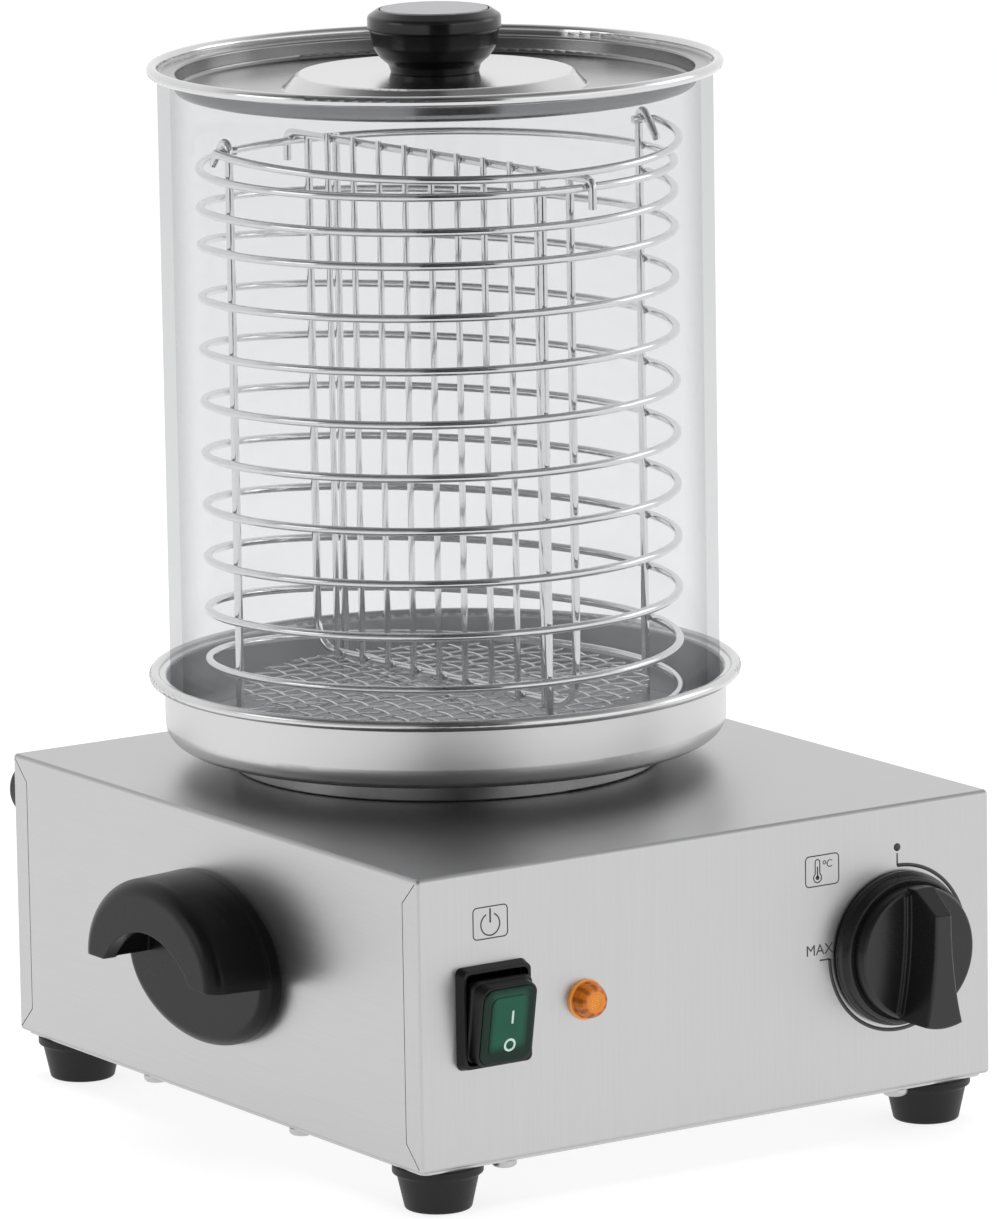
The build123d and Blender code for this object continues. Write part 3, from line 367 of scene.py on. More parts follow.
def polished_lid(finish):
    """Lid: polished rim, satin trough greyed with painted shade and a groove darker still with painted
    shade, spun raised middle.
    """
    made, maker = material("polished_lid_steel")
    position = maker.position()
    x, y, _ = maker.split(position)
    radius = from_axis(x, y)
    raised = 1 - radius.past(LID_MIDDLE_R, 0.0005)
    lines = maker.noise(maker.join(radius * 2400.0, 0.0, 0.0), 1.0, 3.0)
    haze = maker.noise(position, 30.0, 3.0)
    rim = radius.past(LID_RIM_R, 0.0005)
    rough = raised * (0.15 + lines * 0.06) + (1 - raised) * (0.17 + haze * 0.07 - rim * 0.06)
    # Painted shade: the trough is greyer than the rim and the middle, and the groove is darker still.
    groove_shade = radius.past(LID_GROOVE_R, 0.001) * (1 - rim)
    shaded_trough = maker.mix(groove_shade, toned(finish.bright, 0.66), toned(finish.bright, 0.42))
    tone = maker.mix(raised + rim, shaded_trough, finish.bright)
    surface(maker, Base_Color=tone, Metallic=1.0, Roughness=rough,
            Normal=maker.bump(lines * raised, 0.05, 0.0001))
    return made


def plain_steel():
    """Zinc-plated screws, nuts and inner sheet."""
    made, maker = material("plated_steel")
    cloud = maker.noise(maker.position(), 160.0, 4.0)
    tone = maker.mix(cloud, (0.42, 0.42, 0.43), (0.62, 0.62, 0.62))
    surface(maker, Base_Color=tone, Metallic=1.0, Roughness=0.30 + cloud * 0.18,
            Normal=maker.bump(cloud, 0.1, 0.0002))
    return made


def moulded(name, tone, rough, grain, grain_scale=2600.0, gloss=0.5, edge=0.0005):
    """Moulded plastic or rubber with a fine eroded grain and slight cloudiness. edge is the radius
    in metres to which its edges look softened."""
    made, maker = material(name)
    position = maker.position()
    fine = maker.noise(position, grain_scale, 2.0)
    cloud = maker.noise(position, 45.0, 3.0)
    base = maker.mix(cloud, toned(tone, 0.85), toned(tone, 1.15))
    softened = maker.node("ShaderNodeBevel", {"samples": 4}, edge)
    surface(maker, Base_Color=base, Roughness=rough + cloud * 0.06 + fine * 0.03,
            Specular_IOR_Level=gloss, Normal=maker.bump(fine, grain, 0.0003, softened))
    return made


def clear_glass(finish):
    """Clear tube: straight-through tint, greyer where its outer face is seen edge-on, with a faint
    mirror that glancing views can't make strong."""
    made, maker = material("clear_glass")
    facing = maker.node("ShaderNodeLayerWeight", None, 0.5, out=1)
    x, y, _ = maker.split(maker.position())
    outer = (GLASS_HIGH[0] - GLASS_LOW[0]) / 2
    edge = facing.smooth(0.50, 0.72) * from_axis(x, y).past(outer - 0.002, 0.001)
    clear = maker.node("ShaderNodeBsdfTransparent", None, tuple(finish.glass))
    grey = maker.node("ShaderNodeBsdfTransparent", None, toned(finish.glass, 0.86))
    through = maker.node("ShaderNodeMixShader", None, edge, clear, grey)
    gloss = maker.node("ShaderNodeBsdfAnisotropic", None, Color=(1.0, 1.0, 1.0), Roughness=0.04)
    mirror = maker.node("ShaderNodeFresnel", None, 1.47).math("MINIMUM", 0.12) * 0.32
    mixed = maker.node("ShaderNodeMixShader", None, mirror, through, gloss)
    maker.node("ShaderNodeOutputMaterial", None, Surface=mixed)
    return made


def lamp_amber(finish):
    """Amber lens with turned rings on its front, painted lighter in bands as a painted highlight, darker
    facets behind them with painted shade deepening toward the lower right, and a pale flange.
    """
    made, maker = material("amber_lens")
    x, _, z = maker.split(maker.position())
    centre_x, _, centre_z = middle("lamp_lens")
    across = x - centre_x
    up = z - centre_z
    radius = (across * across + up * up).math("SQRT")
    ring_pitch, facet_count = 0.00075, 9.0
    rings = (radius * (math.tau / ring_pitch)).math("SINE") * 0.5 + 0.5
    front = 1 - radius.smooth(0.0027, 0.0030)
    facets = (up.math("ARCTAN2", across) * facet_count).math("SINE").smooth(-0.4, 0.9)
    skirt = radius.smooth(0.0034, 0.0044) * (1 - radius.smooth(0.0062, 0.0066))
    # Painted shade: the lens grows darker toward its lower right.
    lower_right_shade = (across - up).smooth(-0.004, 0.007)
    flange = radius.smooth(0.0064, 0.0068)
    deep, ring_highlight, pale = (0.23, 0.045, 0.004), (0.90, 0.46, 0.06), (0.85, 0.42, 0.10)
    tone = maker.mix(skirt * (0.35 + facets * 0.45 + lower_right_shade * 0.2), finish.amber, deep)
    # Painted highlight: the rings on the front are lighter in bands.
    tone = maker.mix(front * rings * 0.5, tone, ring_highlight)
    tone = maker.mix(flange * 0.5, tone, pale)
    surface(maker, Base_Color=tone, Roughness=0.16, Specular_IOR_Level=0.4, Coat_Weight=0.2,
            Coat_Roughness=0.05, Emission_Color=tone, Emission_Strength=0.12,
            Normal=maker.bump(rings * front, 0.5, 0.0004))
    return made


def button_green(finish):
    """Deep green plastic with a painted highlight that makes its raised field brightest and painted
    shade that makes it near black at its edge.
    """
    made, maker = material("green_button")
    position = maker.position()
    x, _, z = maker.split(position)
    across = (x - SWITCH_X).math("ABSOLUTE")
    up = (z - SWITCH_Z).math("ABSOLUTE")
    # Painted light: the raised field gets the bright green, and the edge round it a near-black painted
    # shade.
    lit_field = (1 - across.smooth(0.0050, 0.0088)) * (1 - up.smooth(0.0078, 0.0122))
    cloud = maker.noise(position, 90.0, 2.0)
    glow = maker.mix(cloud, toned(finish.green, 0.85), toned(finish.green, 1.2))
    tone = maker.mix(lit_field, toned(finish.green, 0.22), glow)
    surface(maker, Base_Color=tone, Roughness=0.26, Specular_IOR_Level=0.22)
    return made


def inlay_grey():
    """Spun inlay in the knob's top."""
    made, maker = material("knob_inlay")
    x, y, _ = maker.split(maker.position())
    lines = maker.noise(maker.join(from_axis(x, y) * 4000.0, 0.0, 0.0), 1.0, 3.0)
    tone = maker.mix(lines, (0.34, 0.34, 0.36), (0.43, 0.43, 0.45))
    surface(maker, Base_Color=tone, Metallic=0.7, Roughness=0.30 + lines * 0.08,
            Normal=maker.bump(lines, 0.04, 0.0001))
    return made


def fibre_pad():
    """Pressed ceramic fibre."""
    made, maker = material("ceramic_fibre")
    felt = maker.noise(maker.position(), 900.0, 6.0, 0.7)
    tone = maker.mix(felt, (0.62, 0.58, 0.50), (0.86, 0.84, 0.78))
    surface(maker, Base_Color=tone, Roughness=0.95, Normal=maker.bump(felt, 0.6, 0.001))
    return made


def warm_metal(name, dark, light, rough):
    """Cast or turned metal with slight mottling."""
    made, maker = material(name)
    cloud = maker.noise(maker.position(), 220.0, 5.0, 0.6)
    surface(maker, Base_Color=maker.mix(cloud, dark, light), Metallic=1.0,
            Roughness=rough + cloud * 0.15, Normal=maker.bump(cloud, 0.25, 0.0004))
    return made


def ink(name, tone):
    """Screen-printed ink with slightly uneven density."""
    made, maker = material(name)
    cloud = maker.noise(maker.position(), 1500.0, 3.0)
    surface(maker, Base_Color=maker.mix(cloud, toned(tone, 0.9), toned(tone, 1.1)),
            Roughness=0.45 + cloud * 0.1)
    return made


def dress(made, *nodes):
    """Gives CAD nodes their finished material."""
    for node in nodes:
        slots = frame["nodes"][node].data.materials
        slots.clear()
        slots.append(made)


# ---- surfaces -----------------------------------------------------------------------------------

def piece(name, points, quads, triangles, made, body, slot):
    """Mesh object from arrays of points and faces, riding on a body."""
    mesh = bpy.data.meshes.new(name)
    order = np.concatenate([np.asarray(quads, int).ravel(), np.asarray(triangles, int).ravel()])
    totals = np.array([4] * len(quads) + [3] * len(triangles))
    mesh.vertices.add(len(points))
    mesh.vertices.foreach_set("co", np.asarray(points, float).ravel())
    mesh.loops.add(len(order))
    mesh.loops.foreach_set("vertex_index", order)
    mesh.polygons.add(len(totals))
    mesh.polygons.foreach_set("loop_start", np.concatenate([[0], np.cumsum(totals)[:-1]]))
    mesh.polygons.foreach_set("loop_total", totals)
    mesh.polygons.foreach_set("use_smooth", np.ones(len(totals), bool))
    mesh.update(calc_edges=True)
    if mesh.validate():
        raise RuntimeError(f"{name}: the faces don't make a sound mesh")
    made_object = bpy.data.objects.new(name, mesh)
    bpy.context.collection.objects.link(made_object)
    mesh.materials.append(made)
    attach(made_object, body)
    return made_object


def grid_quads(rows, columns, closed_rows=False):
    """Faces of a grid whose columns wrap round; its rows wrap too when closed_rows."""
    last = rows if closed_rows else rows - 1
    row, column = np.meshgrid(np.arange(last), np.arange(columns), indexing="ij")
    ahead = (row + 1) % rows
    beside = (column + 1) % columns
    quads = np.stack([row * columns + column, row * columns + beside,
                      ahead * columns + beside, ahead * columns + column], -1)
    return quads.reshape(-1, 4)


def swept(paths, section, out, closed=False):
    """Section carried along plane or nearly plane paths.

    paths is (n, steps, 3) and section is (sides, 2). A point is path + across * u + out * v, where
    across is out x tangent, so the section's first part lies across the path and its second along
    out, which is one vector or one for each path point. Open ends get a fan about the end's centre.
    """
    n, steps, _ = paths.shape
    if closed:
        tangent = np.roll(paths, -1, 1) - np.roll(paths, 1, 1)
    else:
        tangent = np.gradient(paths, axis=1)
    tangent /= np.linalg.norm(tangent, axis=2, keepdims=True)
    out = np.broadcast_to(out, paths.shape)
    across = np.cross(out, tangent)
    across /= np.linalg.norm(across, axis=2, keepdims=True)
    lift = np.cross(tangent, across)
    sides = len(section)
    rings = (paths[:, :, None] + across[:, :, None] * section[:, 0, None]
             + lift[:, :, None] * section[:, 1, None])
    size = steps * sides
    quads = grid_quads(steps, sides, closed)[:, ::-1]
    quads = (quads[None] + np.arange(n)[:, None, None] * size).reshape(-1, 4)
    points = rings.reshape(-1, 3)
    if closed:
        return points, quads, np.empty((0, 3), int)
    hubs = np.concatenate([rings[:, 0].mean(1), rings[:, -1].mean(1)])
    side = np.arange(sides)
    beside = (side + 1) % sides
    base = np.arange(n)[:, None] * size
    first_hub = n * size + np.arange(n)[:, None]
    near = np.stack([np.broadcast_to(first_hub, (n, sides)), base + side, base + beside], -1)
    tail = base + (steps - 1) * sides
    far = np.stack([np.broadcast_to(first_hub + n, (n, sides)), tail + beside, tail + side], -1)
    fans = np.concatenate([near, far]).reshape(-1, 3)
    return np.concatenate([points, hubs]), quads, fans


def round_section(radius, sides):
    """Circle of a wire."""
    angle = np.arange(sides) * math.tau / sides
    return np.stack([np.cos(angle), np.sin(angle)], 1) * radius


def flat_section(width, height):
    """Low rectangle of a printed line, standing on the surface."""
    half = width / 2
    return np.array([[-half, 0], [half, 0], [half, height], [-half, height]])


def blobs(centres, radius, across=5, around=8):
    """Small closed balls: point = centre + r (sin a cos b, sin a sin b, cos a), poles as fans."""
    fall = np.linspace(0, math.pi, across + 2)[1:-1]
    turn = np.arange(around) * math.tau / around
    ball = np.stack([np.sin(fall)[:, None] * np.cos(turn), np.sin(fall)[:, None] * np.sin(turn),
                     np.broadcast_to(np.cos(fall)[:, None], (across, around))], -1).reshape(-1, 3)
    ball = np.concatenate([ball, [[0, 0, 1], [0, 0, -1]]]) * radius
    quads = grid_quads(across, around)[:, ::-1]
    side = np.arange(around)
    beside = (side + 1) % around
    top = np.stack([np.full(around, across * around), side, beside], 1)
    low = (across - 1) * around
    bottom = np.stack([np.full(around, across * around + 1), low + beside, low + side], 1)
    fans = np.concatenate([top, bottom])
    count = np.arange(len(centres))[:, None, None] * len(ball)
    points = (np.asarray(centres)[:, None] + ball[None]).reshape(-1, 3)
    return points, (quads[None] + count).reshape(-1, 4), (fans[None] + count).reshape(-1, 3)


def together(shapes):
    """Several (points, quads, triangles) shapes as one."""
    points, quads, fans, start = [], [], [], 0
    for some_points, some_quads, some_fans in shapes:
        points.append(some_points)
        quads.append(np.asarray(some_quads, int).reshape(-1, 4) + start)
        fans.append(np.asarray(some_fans, int).reshape(-1, 3) + start)
        start += len(some_points)
    return np.concatenate(points), np.concatenate(quads), np.concatenate(fans)


# ---- printed marks ------------------------------------------------------------------------------

OUT_OF_PANEL = np.array([0.0, -1.0, 0.0])
ICON_CORNER = 0.0016


def on_panel(points):
    """Places (x, z) pairs on the front panel."""
    points = np.asarray(points, float)
    return np.stack([points[..., 0], np.full(points.shape[:-1], PANEL_Y), points[..., 1]], -1)


def arc(centre, radius, start, end, steps=24):
    """Points of an arc; angles in degrees from the first axis."""
    angle = np.radians(np.linspace(start, end, steps))
    return np.stack([centre[0] + radius * np.cos(angle), centre[1] + radius * np.sin(angle)], 1)


def rounded_frame(left, low, right, high, corner):
    """Closed rounded rectangle, counter-clockwise."""
    places = ((right, low, -90), (right, high, 0), (left, high, 90), (left, low, 180))
    turns = []
    for x, z, start in places:
        centre = (x + (corner if x == left else -corner), z + (corner if z == low else -corner))
        turns.append(arc(centre, corner, start, start + 90, 8))
    return np.concatenate(turns)


def line_on_panel(points, width, height, closed=False):
    """Printed line along (x, z) points."""
    return swept(on_panel(points)[None], flat_section(width, height), OUT_OF_PANEL, closed)


def dot_on_panel(x, z, radius, height, sides=28):
    """Printed round dot: a low disc with a fan on its face."""
    rim = arc((x, z), radius, 0, 360, sides + 1)[:-1]
    base = on_panel(rim)
    face = base + OUT_OF_PANEL * height
    points = np.concatenate([base, face, [on_panel([x, z]) + OUT_OF_PANEL * height], [on_panel([x, z])]])
    quads = grid_quads(2, sides)
    side = np.arange(sides)
    beside = (side + 1) % sides
    hub = np.full(sides, 2 * sides)
    fans = np.concatenate([np.stack([hub, sides + side, sides + beside], 1),
                           np.stack([hub + 1, beside, side], 1)])
    return points, quads, fans


def letters(text, height, left, low, depth):
    """Points and triangles of a flat word on the panel, made from Blender's own plain font."""
    curve = bpy.data.curves.new("word", "FONT")
    curve.body = text
    curve.extrude = depth / 2
    writer = bpy.data.objects.new("word", curve)
    bpy.context.collection.objects.link(writer)
    mesh = bpy.data.meshes.new_from_object(writer.evaluated_get(bpy.context.evaluated_depsgraph_get()))
    mesh.calc_loop_triangles()
    flat = np.empty(len(mesh.vertices) * 3)
    mesh.vertices.foreach_get("co", flat)
    flat = flat.reshape(-1, 3)
    triangles = np.empty(len(mesh.loop_triangles) * 3, int)
    mesh.loop_triangles.foreach_get("vertices", triangles)
    bpy.data.objects.remove(writer)
    scale = height / np.ptp(flat[:, 1])
    x = (flat[:, 0] - flat[:, 0].min()) * scale + left
    z = (flat[:, 1] - flat[:, 1].min()) * scale + low
    points = np.stack([x, PANEL_Y - depth / 2 - flat[:, 2], z], 1)
    return points, np.empty((0, 4), int), triangles.reshape(-1, 3)


def power_icon(sizes):
    """Rounded frame with the usual power sign in it: a ring open at the top and a bar."""
    stroke, height = sizes.stroke, sizes.ink_height
    left, right = SWITCH_X - 0.0070, SWITCH_X + 0.0072
    low, high = 0.0968, 0.1080
    x, z = SWITCH_X + 0.0001, 0.1017
    ring_radius, bar_low, bar_high = 0.0039, 0.0006, 0.0056
    outline = rounded_frame(left, low, right, high, ICON_CORNER)
    return together([
        line_on_panel(outline, stroke, height, True),
        line_on_panel(arc((x, z), ring_radius, 115, 425, 40), stroke * 1.2, height),
        line_on_panel([(x, z + bar_low), (x, z + bar_high)], stroke * 1.5, height)])


def heat_icon(sizes):
    """Rounded frame with a thermometer and a degree sign in it."""
    stroke, height = sizes.stroke, sizes.ink_height
    left, right, low, high = 0.0414, 0.0558, 0.0960, 0.1070
    x, z = left + 0.0052, low + 0.0030
    bulb_radius, filled_radius = 0.0017, 0.0008
    half_tube, tube_low, tube_high, filled_high = 0.0010, 0.0013, 0.0056, 0.0040
    degree = arc((x + 0.0030, z + 0.0052), 0.0006, 0, 360, 13)[:-1]
    return together([
        line_on_panel(rounded_frame(left, low, right, high, ICON_CORNER), stroke, height, True),
        line_on_panel(arc((x, z), bulb_radius, 130, 410, 24), stroke, height),
        line_on_panel([(x - half_tube, z + tube_low), (x - half_tube, z + tube_high)], stroke, height),
        line_on_panel([(x + half_tube, z + tube_low), (x + half_tube, z + tube_high)], stroke, height),
        line_on_panel(arc((x, z + tube_high), half_tube, 0, 180, 12), stroke, height),
        dot_on_panel(x, z, filled_radius, height),
        line_on_panel([(x, z), (x, z + filled_high)], stroke * 1.2, height),
        line_on_panel(degree, stroke * 0.8, height, True),
        letters("C", 0.0027, x + 0.0040, z + 0.0033, height)])


def dial_scale(sizes):
    """Arc round the dial from the dot clockwise to MAX, with a tick at each end."""
    height, stroke = sizes.ink_height, sizes.stroke * 1.4
    x, z, radius, tick = DIAL_X, DIAL_Z, 0.0298, 0.0044
    dot_up, dot_radius = 0.0364, 0.00145
    word_height, word_left, word_low = 0.0038, 0.0416, 0.0711
    return together([
        line_on_panel(arc((x, z), radius, 90, -180, 140), sizes.arc_stroke, height),
        line_on_panel([(x, z + radius), (x, z + radius + tick)], stroke, height),
        line_on_panel([(x - radius, z), (x - radius - tick, z)], stroke, height),
        dot_on_panel(x, z + dot_up, dot_radius, height),
        letters("MAX", word_height, word_left, word_low, height)])


def on_rocker(points):
    """Places (x, up) pairs on the raised field of the button, which at rest is tilted top out.
    Gives the points and the field's outward direction."""
    joint = JOINTS["rocker_tilt"]
    face_from_pivot = 0.0100
    tilt = math.radians(joint["range_deg"][1] / 2)
    pivot = np.array(joint["pos_m"])
    outward = np.array([0.0, -math.cos(tilt), -math.sin(tilt)])
    upward = np.array([0.0, -math.sin(tilt), math.cos(tilt)])
    points = np.asarray(points, float)
    face = pivot + outward * face_from_pivot
    return face + points[..., :1] * np.array([1.0, 0, 0]) + points[..., 1:] * upward, outward


def rocker_marks(sizes):
    """The on bar and the off ring."""
    stroke, ring_radius = 0.00085, 0.0020
    section = flat_section(stroke, sizes.ink_height)
    bar, outward = on_rocker([(0.0013, 0.0052), (0.0013, 0.0004)])
    ring, _ = on_rocker(arc((0.0010, -0.0075), ring_radius, 0, 360, 37)[:-1])
    return together([swept(bar[None], section, outward), swept(ring[None], section, outward, True)])


# ---- basket details -----------------------------------------------------------------------------

def woven_floor(sizes):
    """Plain weave: wire k of one set runs straight in plan and rises and falls as
    z = h (-1)^k cos(pi s / pitch), s being the way along it, and the other set does the opposite, so
    the two pass over and under each other in turn. The weave is pressed flat: h is 0.55 of a wire's
    radius."""
    low, high = span("basket_mesh")
    radius = sizes.mesh_wire / 2
    pressed, sides, steps_a_mesh, clearance = 0.55, 6, 6, 0.0002
    reach = (high[0] - low[0]) / 2 - clearance
    mid_z = (low[2] + high[2]) / 2
    count = int(reach // sizes.mesh_pitch)
    shapes = []
    for first in (True, False):
        for step in range(-count, count + 1):
            offset = step * sizes.mesh_pitch
            half = math.sqrt(reach ** 2 - offset ** 2)
            steps = max(9, int(2 * half / sizes.mesh_pitch * steps_a_mesh))
            along = np.linspace(-half, half, steps)
            sign = (-1) ** step * (1 if first else -1)
            rise = sign * radius * pressed * np.cos(np.pi * along / sizes.mesh_pitch)
            across = np.full(steps, offset)
            u, v = (along, across) if first else (across, along)
            x = u * math.cos(BASKET_TURN) - v * math.sin(BASKET_TURN) + AXIS_X
            y = u * math.sin(BASKET_TURN) + v * math.cos(BASKET_TURN) + AXIS_Y
            path = np.stack([x, y, mid_z + rise], 1)
            shapes.append(swept(path[None], round_section(radius, sides), np.array([0.0, 0.0, 1.0])))
    return together(shapes)


def corners(node):
    """All mesh points of a node, measured from the basket's axis."""
    mesh = frame["nodes"][node].data
    flat = np.empty(len(mesh.vertices) * 3)
    mesh.vertices.foreach_get("co", flat)
    return flat.reshape(-1, 3) - np.array([AXIS_X, AXIS_Y, 0.0])


def cluster_middles(values, gap):
    """Middles of the groups of values that lie further apart than gap."""
    values = np.sort(values)
    breaks = np.flatnonzero(np.diff(values) > gap) + 1
    return np.array([(part[0] + part[-1]) / 2 for part in np.split(values, breaks)])


def coil_welds():
    """Places where each turn of the coil touches the four uprights: point = (r cos t, r sin t, z),
    r being the coil's inner radius, t an upright's turn and z the coil's height there."""
    narrow, turn_gap = 0.06, 0.0035
    points = corners("basket_rings")
    angle = np.arctan2(points[:, 1], points[:, 0])
    radius = np.hypot(points[:, 0], points[:, 1]).min()
    places = []
    for quarter in range(4):
        turn = BASKET_TURN + quarter * math.pi / 2
        near = np.cos(angle - turn) > math.cos(narrow)
        for height in cluster_middles(points[near, 2], turn_gap):
            places.append((radius * math.cos(turn), radius * math.sin(turn), height))
    return np.array(places) + np.array([AXIS_X, AXIS_Y, 0.0])


def divider_welds():
    """Places where the divider's upright wires touch its rail and its bottom wire: point =
    along * s + side * w + height, s being a wire's place on the rail and w a plane between the
    frame's layer of wires and the upright ones."""
    wire_gap, toward_wires = 0.004, 0.55
    frame_points, wire_points = corners("divider_frame"), corners("divider_wires")
    spread = frame_points[:, :2] - frame_points[:, :2].mean(0)
    along = np.linalg.svd(spread, full_matrices=False)[2][0]
    side = np.array([-along[1], along[0]])
    layer = [points[:, :2] @ side for points in (frame_points, wire_points)]
    middle_layer = [(values.min() + values.max()) / 2 for values in layer]
    between = middle_layer[0] + (middle_layer[1] - middle_layer[0]) * toward_wires
    rail = frame_points[:, 2].max() - np.ptp(layer[0]) / 2
    bottom = frame_points[:, 2].min() + np.ptp(layer[0]) / 2
    places = [(*(along * step + side * between), height)
              for step in cluster_middles(wire_points[:, :2] @ along, wire_gap)
              for height in (rail, bottom)]
    return np.array(places) + np.array([AXIS_X, AXIS_Y, 0.0])


# ---- operators ----------------------------------------------------------------------------------

class STEAMER_OT_housing(bpy.types.Operator):
    """Finish the folded housing, its base plate and all plated screws, nuts and inner sheet."""

    bl_idname = "steamer.housing"
    bl_label = "Housing"

    def execute(self, context):
        finish = context.scene.steamer_finishes
        dress(brushed_steel(finish), "housing_shell", "base_plate")
        dress(plain_steel(), "base_screws", "foot_screws", "foot_nuts", "handle_screws",
              "bumper_screws", "lid_knob_screw", "lid_knob_washer", "thermostat_screws",
              "thermostat_shaft", "element_terminals", "plate_stud", "stud_spacer", "stud_nut",
              "heat_shield", "sensor_bulb")
        return {"FINISHED"}


class STEAMER_OT_fittings(bpy.types.Operator):
    """Finish the handles, feet, wall bumpers and cord gland."""

    bl_idname = "steamer.fittings"
    bl_label = "Handles and feet"

    def execute(self, context):
        finish = context.scene.steamer_finishes
        dress(moulded("handle_plastic", toned(finish.black, 0.7), 0.22, 0.08, gloss=0.2, edge=0.001),
              "handle_left", "handle_right", "cord_gland", "gland_nut")
        dress(moulded("foot_rubber", finish.rubber, 0.42, 0.20, 1800.0, gloss=0.3),
              "foot_front_left", "foot_front_right", "foot_rear_left", "foot_rear_right")
        dress(moulded("bumper_rubber", toned(finish.rubber, 1.9), 0.50, 0.20, 1800.0),
              "rear_bumper_left", "rear_bumper_right")
        return {"FINISHED"}


class STEAMER_OT_controls(bpy.types.Operator):
    """Finish the switch, lamp and thermostat, and print the marks."""

    bl_idname = "steamer.controls"
    bl_label = "Controls and print"

    def execute(self, context):
        finish = context.scene.steamer_finishes
        sizes = context.scene.steamer_sizes
        dress(moulded("switch_plastic", finish.black, 0.30, 0.06, gloss=0.3),
              "switch_housing", "power_rocker")
        dress(moulded("dial_plastic", finish.black, 0.22, 0.05, edge=0.0009), "thermostat_knob")
        dress(moulded("inner_plastic", (0.035, 0.034, 0.032), 0.40, 0.05),
              "thermostat_body", "lamp_body", "lamp_nut", "overheat_cutout", "terminal_block")
        dress(warm_metal("brass_terminals", (0.55, 0.42, 0.20), (0.78, 0.62, 0.32), 0.25),
              "switch_terminals", "earth_stud")
        dress(button_green(finish), "power_button")
        dress(lamp_amber(finish), "lamp_lens")
        dark = ink("panel_ink", finish.ink)
        piece("power_icon", *power_icon(sizes), dark, "base", "black_plastic")
        piece("heat_icon", *heat_icon(sizes), dark, "base", "black_plastic")
        piece("dial_scale", *dial_scale(sizes), dark, "base", "black_plastic")
        light = ink("rocker_ink", finish.white_ink)
        piece("rocker_marks", *rocker_marks(sizes), light, "rocker", "green_lens")
        return {"FINISHED"}


class STEAMER_OT_heater(bpy.types.Operator):
    """Finish the collar, heat plate and the heater's inner pieces."""

    bl_idname = "steamer.heater"
    bl_label = "Heater"

    def execute(self, context):
        # Painted shade: the collar's steel is given a dark colour for the shade under the pan.
        dress(warm_metal("shaded_collar_steel", (0.26, 0.26, 0.265), (0.38, 0.38, 0.385), 0.30),
              "support_collar")
        dress(warm_metal("cast_plate", (0.15, 0.15, 0.155), (0.24, 0.24, 0.245), 0.38), "heat_plate")
        dress(warm_metal("element_sheath", (0.10, 0.10, 0.11), (0.20, 0.19, 0.18), 0.42),
              "heating_element")
        dress(fibre_pad(), "insulation_pad")
        return {"FINISHED"}


class STEAMER_OT_pan_and_glass(bpy.types.Operator):
    """Finish the water pan and the glass tube."""

    bl_idname = "steamer.pan_and_glass"
    bl_label = "Pan and glass"

    def execute(self, context):
        finish = context.scene.steamer_finishes
        dress(spun_steel(finish), "water_pan")
        dress(clear_glass(finish), "glass_cylinder")
        return {"FINISHED"}


class STEAMER_OT_basket(bpy.types.Operator):
    """Finish the wires, weave the basket's floor and set the spot welds."""

    bl_idname = "steamer.basket"
    bl_label = "Basket"

    def execute(self, context):
        finish = context.scene.steamer_finishes
        sizes = context.scene.steamer_sizes
        wire = bright_wire(finish)
        dress(wire, "basket_rings", "basket_uprights", "basket_cross_wires", "basket_mesh",
              "divider_frame", "divider_wires", "basket_bail")
        weave = piece("woven_floor", *woven_floor(sizes), wire, "basket", "wire_steel")
        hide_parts("basket_mesh")
        beads = blobs(np.concatenate([coil_welds(), divider_welds()]), sizes.weld)
        piece("weld_beads", *beads, weld_metal(), "basket", "wire_steel")
        return {"FINISHED"}


class STEAMER_OT_lid(bpy.types.Operator):
    """Finish the lid and its knob."""

    bl_idname = "steamer.lid"
    bl_label = "Lid"

    def execute(self, context):
        finish = context.scene.steamer_finishes
        dress(polished_lid(finish), "lid_plate")
        dress(moulded("knob_plastic", finish.black, 0.14, 0.02), "lid_knob")
        dress(inlay_grey(), "lid_knob_cap")
        return {"FINISHED"}


class STEAMER_OT_stage(bpy.types.Operator):
    """Make the pale floor, the soft studio light and the camera."""

    bl_idname = "steamer.stage"
    bl_label = "Studio"

    def execute(self, context):
        stage = context.scene.steamer_stage
        pale_floor(stage)
        dark_card(stage)
        soft_surround(stage)
        soft_lights()
        camera(stage)
        context.scene.view_settings.view_transform = "Standard"
        return {"FINISHED"}


def sheet(name, outline):
    """Flat four-sided object of the studio."""
    mesh = bpy.data.meshes.new(name)
    mesh.from_pydata(outline, [], [(0, 1, 2, 3)])
    made_object = bpy.data.objects.new(name, mesh)
    bpy.context.collection.objects.link(made_object)
    return made_object


def pale_floor(stage):
    """Wide plain floor that also gives a little light from below."""
    reach = 30.0
    floor = sheet("floor", [(-reach, -reach, 0), (reach, -reach, 0), (reach, reach, 0),
                            (-reach, reach, 0)])
    made, maker = material("pale_floor")
    surface(maker, Base_Color=(stage.floor,) * 3, Roughness=0.9, Specular_IOR_Level=0.1,
            Emission_Color=(1.0, 1.0, 1.0), Emission_Strength=stage.glow)
    floor.data.materials.append(made)


def dark_card(stage):
    """Black card in front of the object, low enough to stand on the floor, which only the polished
    steel mirrors: it draws the dark band down the middle of the wires, the pan and the lid."""
    distance, bottom, top, left, right = 1.7, 0.02, 0.85, -0.14, 0.46
    outline = []
    for turn, height in ((left, bottom), (right, bottom), (right, top), (left, top)):
        angle = stage.azimuth + turn
        outline.append((distance * math.sin(angle), -distance * math.cos(angle) + AXIS_Y, height))
    card = sheet("dark_card", outline)
    made, maker = material("black_card")
    surface(maker, Base_Color=(0.02, 0.02, 0.021), Roughness=0.9, Specular_IOR_Level=0.1)
    card.data.materials.append(made)
    card.visible_camera = False
    card.visible_diffuse = False
    card.visible_shadow = False


